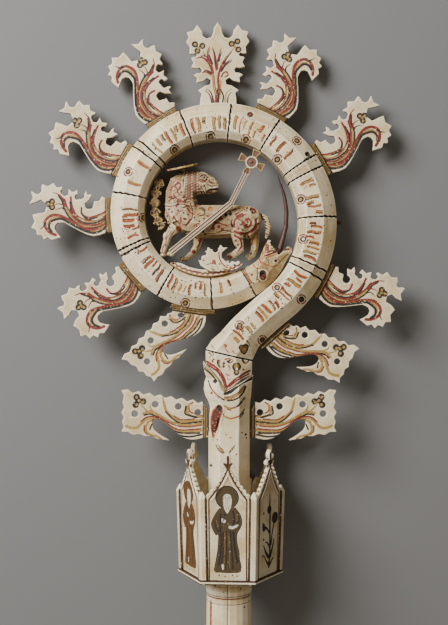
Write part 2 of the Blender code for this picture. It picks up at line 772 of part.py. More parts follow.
def build_serpent():
    """The head that ends the crook, its jaws open upwards, with the peg that stays it on the leg."""
    start, heading = crook_at(CROOK_END + GAP / 2)
    out = outward(heading) * (TUBE_END_WIDTH / 2)
    profile = [(start + out, start - out, TUBE_END_WIDTH * TUBE_DEPTH_SHARE)]
    for station, clearance, inner, depth in SERPENT_SECTIONS:
        profile.append((beside_leg(station, clearance), Vector((*inner, 0)), depth))
    rings = [tube_ring((a + b) / 2, (a - b).normalized(), (a - b).length / 2, d / 2) for a, b, d in profile]
    head = add_piece("serpent_head", loft(rings))
    gape = (SERPENT_GAPE_BASE, (0.0415, 0.2790), (0.0400, 0.2900), (0.0300, 0.2900), (0.0290, 0.2805))
    z = Vector((0, 0, TUBE_WIDTH))
    flat = [Vector((*p, 0)) for p in gape]
    opening = loft([[p - z for p in flat], [p + z for p in flat]])
    boolean(head, add_cutter("serpent_gape", opening), "DIFFERENCE")
    ears = tapered(SERPENT_EARS, [0.0012, 0.0040, 0.0010], 0.0, 2.9, 8)
    boolean(head, add_cutter("serpent_ears", ears), "UNION")
    base = Vector((*SERPENT_GAPE_BASE, 0)) + Vector((0.0002, 2 * GAP, 0))
    tongue = [base, base + Vector((0.0010, 0.0040, 0)), *((x, y, 0.0) for x, y in TONGUE_BOW)]
    halves = [0.0004, 0.0019, 0.0019, 0.0017, 0.0015, 0.0013, 0.0008, 0.0003]
    add_piece("serpent_tongue", limb(tongue, halves, 0.9, 8), RED_BONE)
    way = -outward(crook_at(PEG_STATION)[1])
    seat = beside_leg(PEG_STATION, GAP)
    peg = limb([seat, seat + way * PEG_LENGTH], [PEG_RADIUS] * 2, 1.0, 8)
    boolean(head, add_cutter("serpent_peg", peg), "UNION")


# Lamb, halo, cross-staff, spray and ground


def build_lamb():
    """The lamb walks to the left and looks back over its shoulder."""
    rise, fall = LAMB_BACK_Y, LAMB_BELLY_Y
    half = LAMB_DEPTH / 2
    # Along the body: place, lower edge, upper edge and share of the depth
    body = (
        (-0.0447, 0.2990, 0.3040, 0.35),
        (-0.0405, 0.2935, 0.3090, 0.80),
        (-0.0330, 0.2885, rise, 1.00),
        (-0.0220, fall + 0.0005, rise, 1.00),
        (-0.0080, fall, rise, 0.96),
        (0.0060, fall + 0.0010, rise, 0.96),
        (0.0150, fall - 0.0005, rise - 0.0006, 1.00),
        (0.0205, fall + 0.0050, rise - 0.0040, 0.80),
        (0.0235, fall + 0.0130, rise - 0.0095, 0.35),
    )
    rings = []
    for x, low, high, share in body:
        tall = Vector((0, (low - high) / 2, 0))
        deep = Vector((0, 0, half * share))
        rings.append(ellipse(Vector((x, (low + high) / 2, 0)), tall, deep, 9))
    lamb = add_piece("lamb", loft(rings))
    forms = {
        "lamb_neck": tapered(NECK, [0.0130, 0.0118, 0.0110, 0.0096, 0.0050], 0.0, 0.62, 9),
        "lamb_head": tapered(HEAD, [0.0060, 0.0086, 0.0086, 0.0077, 0.0064, 0.0046, 0.0030], 0.0, 0.72, 9),
        "lamb_ear": tapered(LAMB_EARS, [0.0010, 0.0030, 0.0010], 0.0, 2.3),
        "lamb_near_fore": tapered(NEAR_FORE, [0.0046, 0.0030, 0.0025, 0.0022, 0.0020], LAMB_NEAR_LEG_Z),
        "lamb_far_fore": tapered(FAR_FORE, [0.0045, 0.0030, 0.0026, 0.0024, 0.0016], LAMB_FAR_LEG_Z),
        "lamb_near_hind": tapered(NEAR_HIND, NEAR_HIND_HALVES, LAMB_NEAR_LEG_Z, 0.6),
        "lamb_far_hind": tapered(FAR_HIND, [0.0050, 0.0036, 0.0030, 0.0030, 0.0022], LAMB_FAR_LEG_Z),
        "lamb_tail": tapered(TAIL, [0.0014, 0.0022, 0.0024, 0.0020, 0.0008], 0.0, 1.0, 6),
    }
    for name, form in forms.items():
        boolean(lamb, add_cutter(name, form), "UNION")


def build_halo():
    way = Vector((math.cos(HALO_TILT), math.sin(HALO_TILT), 0))
    up = Vector((-way.y, way.x, 0))
    centre = Vector((*HALO_CENTRE, 0))
    rings = [
        ellipse(centre + up * shift, way * HALO_RADIUS, Vector((0, 0, HALO_RADIUS)), 16)
        for shift in (-HALO_THICK / 2, HALO_THICK / 2)
    ]
    halo = add_piece("halo", loft(rings), GILT_BONE)
    top = centre + Vector((0.0003, 0, 0))
    peg = [top, top + Vector((0.0004, -HALO_PEG_LENGTH, 0))]
    boolean(halo, add_cutter("halo_peg", limb(peg, [0.0014, 0.0014], 1.0, 8)), "UNION")


def band_plate(name, start, end, width, z, thick):
    """A straight flat bar between two points of the crook's plane."""
    start, end = Vector((*start, z)), Vector((*end, z))
    way = (end - start).normalized()
    side = Vector((way.y, -way.x, 0)) * (width / 2)
    up = Vector((0, 0, thick / 2))
    rings = [[p + side + up, p - side + up, p - side - up, p + side - up] for p in (start, end)]
    return add_cutter(name, loft(rings))


def build_cross_staff():
    """The staff in two straight runs, and the cross: a disc with four flared arms."""
    z = LAMB_DEPTH / 2 + GAP + STAFF_THICK / 2
    low, bend, top, cross = STAFF_FOOT, STAFF_BEND, STAFF_TOP, CROSS_CENTRE
    way = (Vector(cross) - Vector(bend)).normalized()
    side = Vector((way.y, -way.x))
    outline = []
    for turn in range(4):
        arm = way * math.cos(turn * math.pi / 2) - side * math.sin(turn * math.pi / 2)
        across = Vector((arm.y, -arm.x))
        reach = arm * CROSS_ARM_REACH
        inner = arm * (CROSS_DISC_RADIUS * 0.92)
        neck = across * CROSS_ARM_NECK
        flare = across * CROSS_ARM_FLARE
        outline += [inner + neck, reach + flare, reach - flare, inner - neck]
        outline.append((arm - across).normalized() * CROSS_DISC_RADIUS)
    centre = Vector(cross)
    staff = outline_plate("cross_staff", [[tuple(centre + p) for p in outline]], STAFF_THICK, GILT_BONE, z)
    lower = band_plate("staff_lower", low, bend, STAFF_WIDTH, z, STAFF_THICK)
    upper = band_plate("staff_upper", bend, top, STAFF_UPPER_WIDTH, z, STAFF_THICK)
    boolean(staff, upper, "UNION")
    boolean(staff, lower, "UNION")


def build_spray():
    """The gilt branch between the lamb's breast and the ring, its buds along both sides."""
    stem = smooth(SPRAY_STEM, 3)
    right, left = [], []
    for i, spot in enumerate(stem):
        way = (stem[min(i + 1, len(stem) - 1)] - stem[max(i - 1, 0)]).normalized()
        side = Vector((way.y, -way.x)) * (SPRAY_HALF_WIDTH if i % 2 else SPRAY_HALF_WIDTH * 0.35)
        right.append(spot + side)
        left.append(spot - side)
    outline = [tuple(p) for p in [*right, *reversed(left)]]
    outline_plate("gilt_spray", [outline], SPRAY_THICK, GILT_BONE)


def build_ground():
    """The strip of ground along the foot of the ring, with its upright leaf in front."""
    rings = []
    first, last = GROUND_STATIONS
    steps = 7
    for i in range(steps + 1):
        station = first + (last - first) * i / steps
        centre, heading = crook_at(station)
        inward = -outward(heading)
        low = centre + inward * (tube_width(station) / 2 + GAP)
        high = low + inward * (GROUND_HEIGHT * (1.0 if 0 < i < steps else 0.4))
        z = Vector((0, 0, GROUND_DEPTH / 2))
        rings.append([low + z, high + z, high - z, low - z])
    ground = add_piece("ground_strip", loft(rings))
    right = ((0.0100, 0.2668), (0.0066, 0.2684), (0.0025, 0.2680))
    left = ((-0.0010, 0.2776), (-0.0060, 0.2796), (-0.0094, 0.2768), (-0.0146, 0.2780), (-0.0176, 0.2744))
    last = ((-0.0188, 0.2712), (-0.0212, 0.2692))
    base = [(-0.0194, 0.2648), (-0.0130, 0.2612), (-0.0030, 0.2608), (0.0060, 0.2630)]
    edge = scalloped(right, 0.0008) + bite(right[-1], (-0.0012, 0.2722), 0.0042, left[0])
    leaf = [tuple(p) for p in edge + scalloped(left + last, 0.0013)] + base
    front = GROUND_DEPTH / 2 + GROUND_LEAF_THICK / 4
    plate = outline_plate("ground_leaf", [leaf], GROUND_LEAF_THICK, BONE, front)
    boolean(ground, as_cutter(plate), "UNION")


# The crosier laid on its back


def solid_points(graph):
    """Every corner of every piece, and the centre of all their material."""
    corners, total, centre = [], 0.0, Vector()
    for thing in parts.objects:
        if thing.type != "MESH":
            continue
        shape = bmesh.new()
        shape.from_object(thing, graph)
        corners += [v.co.copy() for v in shape.verts]
        bmesh.ops.triangulate(shape, faces=shape.faces)
        for face in shape.faces:
            a, b, c = (v.co for v in face.verts)
            volume = a.dot(b.cross(c)) / 6
            total += volume
            centre += (a + b + c) * (volume / 4)
        shape.free()
    return corners, centre / total


def resting_normal(corners, centre):
    """The outward normal of the hull's face that carries the weight when the crosier lies on its back."""
    hull = bmesh.new()
    for corner in corners:
        hull.verts.new(corner)
    made = bmesh.ops.convex_hull(hull, input=hull.verts)
    best = Vector((0, 0, -1))
    for face in (f for f in made["geom"] if isinstance(f, bmesh.types.BMFace)):
        normal = face.normal
        if normal.dot(face.calc_center_median() - centre) < 0:
            normal = -normal
        if normal.z > BACK_FACING:
            continue
        foot = centre + normal * normal.dot(face.verts[0].co - centre)
        around = [vertex.co - foot for vertex in face.verts]
        sides = [a.cross(b).dot(normal) for a, b in zip(around, around[1:] + around[:1])]
        if all(s >= 0 for s in sides) or all(s <= 0 for s in sides):
            best = normal.copy()
    hull.free()
    return best


def lie_down():
    """Turn the crook so that it rests on its own back, with the middle of its box at the origin."""
    graph = bpy.context.evaluated_depsgraph_get()
    corners, centre = solid_points(graph)
    normal = resting_normal(corners, centre)
    turn = normal.rotation_difference(Vector((0, 0, -1))).to_matrix()
    laid = [turn @ corner for corner in corners]
    low = Vector([min(p[i] for p in laid) for i in range(3)])
    high = Vector([max(p[i] for p in laid) for i in range(3)])
    shift = Vector((-(low.x + high.x) / 2, -(low.y + high.y) / 2, -low.z))
    crook.matrix_world = Matrix.Translation(shift) @ turn.to_4x4()


clear_scene()
parts = collection("crosier_head")
cutters = collection("cutters")
crook = bpy.data.objects.new("crook_frame", None)
parts.objects.link(crook)

build_socket()
build_knop()
build_shaft()
build_elbow()
build_crook()
build_leaves()
build_serpent()
build_lamb()
build_halo()
build_cross_staff()
build_spray()
build_ground()
lie_down()
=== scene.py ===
"""Crosier head of carved and painted bone: the looks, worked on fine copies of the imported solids.

Pieces are worked in the crook's own frame, in millimetres: X to the right, Y up the shaft, Z towards
the viewer, from the middle of the socket's mouth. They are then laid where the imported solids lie.
"""

import json
import math

import bmesh
import bpy
import numpy as np
from mathutils import Matrix, Vector


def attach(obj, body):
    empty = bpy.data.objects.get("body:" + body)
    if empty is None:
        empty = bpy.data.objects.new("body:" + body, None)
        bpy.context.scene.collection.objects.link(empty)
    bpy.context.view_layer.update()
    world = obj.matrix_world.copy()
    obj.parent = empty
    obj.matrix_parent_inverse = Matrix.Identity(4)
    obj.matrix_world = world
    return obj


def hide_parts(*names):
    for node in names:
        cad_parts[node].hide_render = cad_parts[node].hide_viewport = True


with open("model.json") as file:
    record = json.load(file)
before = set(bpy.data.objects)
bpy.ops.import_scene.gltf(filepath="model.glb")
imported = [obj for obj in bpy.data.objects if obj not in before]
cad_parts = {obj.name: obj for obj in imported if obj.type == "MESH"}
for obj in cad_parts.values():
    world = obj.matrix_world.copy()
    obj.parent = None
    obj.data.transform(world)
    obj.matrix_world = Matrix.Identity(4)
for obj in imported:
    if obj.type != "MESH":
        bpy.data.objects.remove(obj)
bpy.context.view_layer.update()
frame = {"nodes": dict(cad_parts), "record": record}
nodes = frame["nodes"]

MM = 0.001

# The crook's centre line, as the solids have it: arcs with a length in mm and a turn in degrees
CROOK_START = (0.0, 206.5)
CROOK_HEADING = math.radians(47.8)
CROOK_ARCS = ((48.0, -9.0), (140.0, 112.0), (134.5, 120.0), (120.0, 124.0))
CROOK_END = 438.8
TUBE_WIDTH = 26.6
TUBE_END_WIDTH = 21.7
TUBE_TAPER_FROM = 150.0
LINE_STEP = 0.5
LINE_MARGIN = 9.0

# Leaves: pattern, height, station, mirrored, lean in degrees and lift
LEAVES = {
    "leaf_leg_lower": ("banded", 56.5, 30.5, False, 18, 1.5),
    "leaf_leg_upper": ("lobed", 57.0, 77.2, False, 5, 0.0),
    "leaf_right_top": ("lobed", 57.0, 150.8, False, 3, 0.0),
    "leaf_top_right": ("lobed", 57.0, 190.5, False, 0, 0.0),
    "leaf_top": ("palmette", 57.0, 221.5, False, 0, 0.0),
    "leaf_top_left": ("lobed", 57.0, 255.5, True, 0, 0.0),
    "leaf_left_top": ("lobed", 57.0, 289.2, True, 0, 0.0),
    "leaf_left": ("lobed", 57.0, 322.2, True, 0, 0.0),
    "leaf_left_low": ("lobed", 57.0, 360.5, True, 0, 0.0),
    "leaf_bottom_left": ("banded", 56.5, 400.5, True, 26, 1.5),
    "leaf_shaft_left": ("banded", 59.5, None, True, 0, 1.5),
    "leaf_shaft_right": ("banded", 59.5, None, False, 0, 1.5),
}
LEAF_LEAN_FULL_AT = 28.0
# Round bites between the lobes: across and up in hundredths of the height, and radius in mm
LOBE_BITES = ((22.2, 41.0, 1.9), (12.2, 27.2, 2.7), (28.7, 58.3, 1.9))
SHAFT_LEAF_Y = 155.8
SHAFT_HALF = 14.25
STRIP_TOP = 3.4
STRIP_GROOVES = (0.7, 1.9)
LEAF_FOOT_HALF = 15.5
LEAF_GRAIN = 0.42
LEAF_BOLD = 1.3

# Knop
KNOP_TURN = math.radians(-3.3)
KNOP_OFFSET = 1.0
PILASTER_LINE = 0.9
GABLE_FOOT = 107.0

# Paints: colour as it looks, and how much of it is gold leaf
PAINTS = {
    "red": ((122, 38, 30), 0.0),
    "oxblood": ((112, 48, 38), 0.0),
    "orange": ((160, 80, 34), 0.1),
    "gold": ((178, 146, 82), 0.4),
    "gilt": ((140, 112, 62), 0.4),
    "black": ((24, 24, 26), 0.0),
    "brown": ((76, 48, 24), 0.1),
    "olive": ((62, 48, 26), 0.1),
    "ochre": ((98, 67, 32), 0.1),
    "robe": ((74, 60, 36), 0.1),
    "pale": ((222, 212, 192), 0.0),
    "cream": ((196, 176, 138), 0.0),
    "maroon": ((84, 32, 26), 0.0),
    "pink": ((166, 98, 78), 0.0),
    "umber": ((112, 76, 60), 0.0),
    "russet": ((130, 98, 78), 0.0),
}
NO_PAINT = -3.0

# Depths of the relief in mm: painted lines, raised forms, cut lines and hair lines
INCISED = -0.10
RAISED = 0.32
CUT = -0.32
HAIR = -0.05

# How far outside a stroke points are still looked at, the distance of points that are far from it, and
# how the relief runs out at a stroke's edge, in mm
REACH = 1.5
FAR = 9.0
EDGE_RUN = 0.45
EDGE_START = 0.4

# Dirt gathers where the surface lies below its surroundings, and where it stands above them it is lighter,
# partly rubbed wear and partly painted highlight: rounds of smoothing, and mm for the full tone
HOLLOW_ROUNDS = 16
HOLLOW_FULL = 0.16


# The crook's frame


def crook_matrix():
    """Where the crook's own frame lies, read from the socket's mouth and the flat top leaf."""

    def facing(node, way):
        total = Vector()
        for face in nodes[node].data.polygons:
            if face.normal.dot(way) > 0.95:
                total += face.normal * face.area
        return total.normalized()

    down = facing("lower_socket", Vector((0, -1, 0)))
    mouth = [v.co for v in nodes["lower_socket"].data.vertices]
    furthest = max(point.dot(down) for point in mouth)
    mouth = [point for point in mouth if point.dot(down) > furthest - 0.1 * MM]
    seen = {tuple(round(value, 6) for value in point) for point in mouth}
    origin = sum((Vector(point) for point in seen), Vector()) / len(seen)
    y = -down
    z = facing("leaf_top", Vector((0, 0, 1)))
    z = (z - y * z.dot(y)).normalized()
    x = y.cross(z)
    return Matrix.Translation(origin) @ Matrix((x, y, z)).transposed().to_4x4()


CROOK = crook_matrix()
TO_CROOK = CROOK.inverted()


def crook_at(station):
    """(point, heading) of the centre line at a length along it."""
    x, y = CROOK_START
    heading = CROOK_HEADING
    for length, turn in CROOK_ARCS:
        bend = math.radians(turn) / length
        here = min(station, length)
        x += (math.sin(heading + bend * here) - math.sin(heading)) / bend
        y -= (math.cos(heading + bend * here) - math.cos(heading)) / bend
        heading += bend * here
        station -= here
        if station <= 0:
            break
    return x, y, heading


LINE_STATIONS = np.arange(-6.0, CROOK_END + 2.0, LINE_STEP)
LINE = np.array([crook_at(station) for station in LINE_STATIONS])


def tube_half(station):
    share = np.clip((station - TUBE_TAPER_FROM) / (CROOK_END - TUBE_TAPER_FROM), 0, 1)
    return (TUBE_WIDTH + (TUBE_END_WIDTH - TUBE_WIDTH) * share) / 2


def along_crook(points, first, last):
    """(station, offset outwards) of points near the stretch of the centre line between two stations."""
    near = (LINE_STATIONS > first - LINE_MARGIN) & (LINE_STATIONS < last + LINE_MARGIN)
    line, stations = LINE[near], LINE_STATIONS[near]
    away = np.full(len(points), np.inf)
    best = np.zeros(len(points), int)
    for i, (x, y, _) in enumerate(line):
        far = (points[:, 0] - x) ** 2 + (points[:, 1] - y) ** 2
        closer = far < away
        away[closer] = far[closer]
        best[closer] = i
    x, y, heading = line[best].T
    dx, dy = points[:, 0] - x, points[:, 1] - y
    station = stations[best] + dx * np.cos(heading) + dy * np.sin(heading)
    return station, dx * np.sin(heading) - dy * np.cos(heading)


# Carving: a fine copy of a solid, worked point by point


def curve_through(points, steps=6):
    """Points of a smooth curve through the given ones."""
    spots = np.array(points, float)
    if len(spots) < 3:
        return spots
    spots = np.vstack([spots[0] * 2 - spots[1], spots, spots[-1] * 2 - spots[-2]])
    made = []
    for a, b, c, d in zip(spots, spots[1:], spots[2:], spots[3:]):
        for i in range(steps):
            u = i / steps
            quadratic = (2 * a - 5 * b + 4 * c - d) * u * u / 2
            cubic = (3 * b - a - 3 * c + d) * u**3 / 2
            made.append(b + (c - a) * u / 2 + quadratic + cubic)
    return np.array([*made, spots[-2]])


def cutter_for(bites):
    """Round posts, each (x, y, radius) in mm, that are cut out of a piece."""
    shape = bmesh.new()
    for x, y, radius in bites:
        size = radius * MM
        place = Matrix.Translation((x * MM, y * MM, 0))
        bmesh.ops.create_cone(
            shape, cap_ends=True, segments=20, radius1=size, radius2=size, depth=100 * MM, matrix=place
        )
    posts = bpy.data.meshes.new("posts")
    shape.to_mesh(posts)
    shape.free()
    cutter = bpy.data.objects.new("posts", posts)
    bpy.context.scene.collection.objects.link(cutter)
    return cutter


class Carving:
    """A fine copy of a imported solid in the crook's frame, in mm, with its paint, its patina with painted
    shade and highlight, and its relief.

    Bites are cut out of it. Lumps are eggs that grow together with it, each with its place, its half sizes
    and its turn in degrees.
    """

    def __init__(self, node, name, grain, soften=2, bites=(), lumps=()):
        source = nodes[node]
        shape = bmesh.new()
        shape.from_mesh(source.data)
        bmesh.ops.remove_doubles(shape, verts=shape.verts, dist=1e-6)
        bmesh.ops.transform(shape, matrix=TO_CROOK, verts=shape.verts)
        for place, halves, turn in lumps:
            lump = Matrix.Translation(Vector(place) * MM)
            lump @= Matrix.Rotation(math.radians(turn), 4, "Z")
            lump @= Matrix.Diagonal((*(Vector(halves) * MM), 1.0))
            bmesh.ops.create_icosphere(shape, subdivisions=3, radius=1, matrix=lump)
        rough = bpy.data.meshes.new(name)
        shape.to_mesh(rough)
        shape.free()
        block = bpy.data.objects.new(name, rough)
        bpy.context.scene.collection.objects.link(block)
        cutter = None
        if bites:
            cutter = cutter_for(bites)
            bitten = block.modifiers.new("bitten", "BOOLEAN")
            bitten.operation = "DIFFERENCE"
            bitten.solver = "EXACT"
            bitten.use_self = True
            bitten.object = cutter
        remesh = block.modifiers.new("fine", "REMESH")
        remesh.mode = "VOXEL"
        remesh.voxel_size = grain * MM
        worn = block.modifiers.new("worn", "SMOOTH")
        worn.factor = 0.5
        worn.iterations = soften
        graph = bpy.context.evaluated_depsgraph_get()
        self.mesh = bpy.data.meshes.new_from_object(block.evaluated_get(graph))
        self.mesh.name = name
        bpy.data.objects.remove(block)
        bpy.data.meshes.remove(rough)
        if cutter:
            bpy.data.meshes.remove(cutter.data)
        self.node = node
        self.name = name
        self.read()
        self.colour = np.zeros((len(self.points), 4))
        self.cover = np.full(len(self.points), NO_PAINT)
        self.patina_shade_sheen = np.zeros(len(self.points))
        self.relief = np.zeros(len(self.points))

    def read(self):
        count = len(self.mesh.vertices)
        flat = np.zeros(count * 3, np.float32)
        self.mesh.vertices.foreach_get("co", flat)
        self.points = flat.reshape(-1, 3).astype(float) / MM
        self.mesh.vertex_normals.foreach_get("vector", flat)
        self.normals = flat.reshape(-1, 3).astype(float)
        self.grain = self.points.copy()

    def lay(self, where, depth, paint, relief=0.0):
        """Lay a paint on the indexed points where depth, the distance in from its edge, is positive."""
        if relief:
            self.relief[where] += relief * np.clip(depth / EDGE_RUN + EDGE_START, 0, 1)
        if paint == "bare":
            return
        look, gilt = PAINTS[paint]
        nearer = (depth > 0) | (depth > self.cover[where])
        chosen = where[nearer]
        self.colour[chosen, :3] = to_linear(look)
        self.colour[chosen, 3] = gilt
        self.cover[where] = np.maximum(self.cover[where], depth)

    def line(self, face, points, width, paint, taper=1.0, relief=0.0, smooth=True):
        """A painted stroke on a face, (indices, flat places). The taper is its last width by its first."""
        indices, flat = face
        curve = curve_through(points) if smooth else np.array(points, float)
        reach = width + REACH
        low, high = curve.min(0) - reach, curve.max(0) + reach
        near = np.all((flat > low) & (flat < high), axis=1)
        if not near.any():
            return
        spots = flat[near]
        best = np.full(len(spots), -FAR)
        pieces = len(curve) - 1
        for i, (a, b) in enumerate(zip(curve, curve[1:])):
            step = b - a
            share = np.clip(((spots - a) @ step) / max(step @ step, 1e-9), 0, 1)
            away = np.hypot(*(spots - a - share[:, None] * step).T)
            run = (i + share) / pieces
            half = width / 2 * (1 + (taper - 1) * run)
            best = np.maximum(best, half - away)
        self.lay(indices[near], best, paint, relief)

    def dot(self, face, centre, radius, paint, relief=0.0):
        indices, flat = face
        away = np.hypot(*(flat - centre).T)
        near = away < radius + REACH
        if near.any():
            self.lay(indices[near], radius - away[near], paint, relief)

    def area(self, face, outline, paint, relief=0.0):
        """A painted area inside a closed outline on a face."""
        indices, flat = face
        outline = np.array(outline, float)
        low, high = outline.min(0) - REACH, outline.max(0) + REACH
        near = np.all((flat > low) & (flat < high), axis=1)
        spots = flat[near]
        inside = np.zeros(len(spots), bool)
        away = np.full(len(spots), FAR)
        for a, b in zip(outline, np.roll(outline, -1, axis=0)):
            step = b - a
            share = np.clip(((spots - a) @ step) / max(step @ step, 1e-9), 0, 1)
            away = np.minimum(away, np.hypot(*(spots - a - share[:, None] * step).T))
            crosses = (a[1] > spots[:, 1]) != (b[1] > spots[:, 1])
            if abs(step[1]) > 1e-9:
                at = a[0] + (spots[:, 1] - a[1]) * step[0] / step[1]
                inside ^= crosses & (spots[:, 0] < at)
        self.lay(indices[near], np.where(inside, away, -away), paint, relief)

    def face(self, flat, towards, least=0.2):
        """The points whose normal leans towards a way, as (indices, their flat places)."""
        chosen = np.nonzero(self.normals @ np.array(towards, float) > least)[0]
        return chosen, flat[chosen]

    def draw(self, face, rows, scale=1.0, bold=1.0):
        """Draw on a face. Each row is a kind, a paint, a width or radius in mm and its points."""
        for row in filter(None, rows.splitlines()):
            kind, paint, size, *spots = row.split()
            points = np.array([[float(value) for value in spot.split(",")] for spot in spots])
            points *= scale
            size = float(size) * bold
            if kind == "line":
                self.line(face, points, size, paint, relief=INCISED)
            elif kind == "tail":
                self.line(face, points, size, paint, taper=0.4, relief=INCISED)
            elif kind == "cut":
                self.line(face, points, size, paint, relief=CUT)
            elif kind == "ridge":
                self.line(face, points, size, paint, relief=RAISED)
            elif kind == "area":
                self.area(face, curve_through([*points, points[0]]), paint, relief=INCISED)
            else:
                relief = {"dots": INCISED, "boss": RAISED, "pit": 2 * CUT}[kind]
                for point in points:
                    self.dot(face, point, size, paint, relief=relief)

    def hollows(self, rounds):
        """How far each point lies below its surroundings, in mm."""
        count = len(self.points)
        ends = np.zeros(len(self.mesh.edges) * 2, np.int32)
        self.mesh.edges.foreach_get("vertices", ends)
        ends = ends.reshape(-1, 2)
        ends = np.vstack([ends, ends[:, ::-1]])
        links = np.bincount(ends[:, 0], minlength=count)[:, None]
        spread = self.points.copy()
        for _ in range(rounds):
            sums = [np.bincount(ends[:, 0], spread[ends[:, 1], i], count) for i in range(3)]
            spread = (spread + np.column_stack(sums) / links) / 2
        return np.einsum("ij,ij->i", spread - self.points, self.normals)

    def finish(self, material, slot):
        """Cut the relief, lay the piece in its place and hang it on the frame."""
        self.points += self.normals * self.relief[:, None]
        self.patina_shade_sheen += np.clip(self.hollows(HOLLOW_ROUNDS) / HOLLOW_FULL, -1.0, 1.0)
        self.mesh.vertices.foreach_set("co", (self.points * MM).astype(np.float32).ravel())
        self.mesh.transform(CROOK)
        paint = self.mesh.attributes.new("paint", "FLOAT_COLOR", "POINT")
        paint.data.foreach_set("color", self.colour.astype(np.float32).ravel())
        for name, values in (("cover", self.cover), ("patina_shade_sheen", self.patina_shade_sheen)):
            attribute = self.mesh.attributes.new(name, "FLOAT", "POINT")
            attribute.data.foreach_set("value", values.astype(np.float32))
        grain = self.mesh.attributes.new("grain", "FLOAT_VECTOR", "POINT")
        grain.data.foreach_set("vector", self.grain.astype(np.float32).ravel())
        self.mesh.polygons.foreach_set("use_smooth", [True] * len(self.mesh.polygons))
        self.mesh.update()
        self.mesh.materials.clear()
        self.mesh.materials.append(material)
        piece = bpy.data.objects.new(self.name, self.mesh)
        bpy.context.scene.collection.objects.link(piece)
        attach(piece, "root")
        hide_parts(self.node)
        return piece


# Materials


def to_linear(colour):
    """The renderer's values of a colour given as it looks, each part up to 255."""
    parts = [value / 255 for value in colour]
    return [part / 12.92 if part <= 0.04045 else ((part + 0.055) / 1.055) ** 2.4 for part in parts]


class Finish:
    """A node material, built up in short steps."""

    def __init__(self, name):
        self.material = bpy.data.materials.new(name)
        self.material.use_nodes = True
        self.tree = self.material.node_tree
        self.shader = self.tree.nodes["Principled BSDF"]

    def node(self, kind, **values):
        made = self.tree.nodes.new(kind)
        for key, value in values.items():
            setattr(made, key, value)
        return made

    def join(self, source, target):
        self.tree.links.new(source, target)

    def put(self, socket, value):
        if isinstance(value, bpy.types.NodeSocket):
            self.join(value, socket)
        else:
            socket.default_value = value

    def attribute(self, name, output="Fac"):
        return self.node("ShaderNodeAttribute", attribute_name=name).outputs[output]

    def grain_place(self, scale):
        """Places along and across the piece's grain, in mm, stretched."""
        mapping = self.node("ShaderNodeMapping")
        mapping.inputs["Scale"].default_value = scale
        self.join(self.attribute("grain", "Vector"), mapping.inputs["Vector"])
        return mapping.outputs["Vector"]

    def noise(self, place, scale, detail=3.0, rough=0.55):
        made = self.node("ShaderNodeTexNoise")
        made.inputs["Scale"].default_value = scale
        made.inputs["Detail"].default_value = detail
        made.inputs["Roughness"].default_value = rough
        self.join(place, made.inputs["Vector"])
        return made.outputs["Fac"]

    def math(self, operation, a, b=0.0, clamp=False):
        made = self.node("ShaderNodeMath", operation=operation, use_clamp=clamp)
        self.put(made.inputs[0], a)
        self.put(made.inputs[1], b)
        return made.outputs[0]

    def ramp(self, value, low, high, to_low=0.0, to_high=1.0):
        made = self.node("ShaderNodeMapRange", interpolation_type="SMOOTHSTEP")
        self.put(made.inputs["Value"], value)
        made.inputs["From Min"].default_value = low
        made.inputs["From Max"].default_value = high
        made.inputs["To Min"].default_value = to_low
        made.inputs["To Max"].default_value = to_high
        return made.outputs["Result"]

    def mix(self, share, a, b):
        made = self.node("ShaderNodeMix", data_type="RGBA")
        self.put(made.inputs[0], share)
        for socket, value in ((made.inputs[6], a), (made.inputs[7], b)):
            if isinstance(value, tuple):
                value = (*to_linear(value), 1.0)
            self.put(socket, value)
        return made.outputs[2]


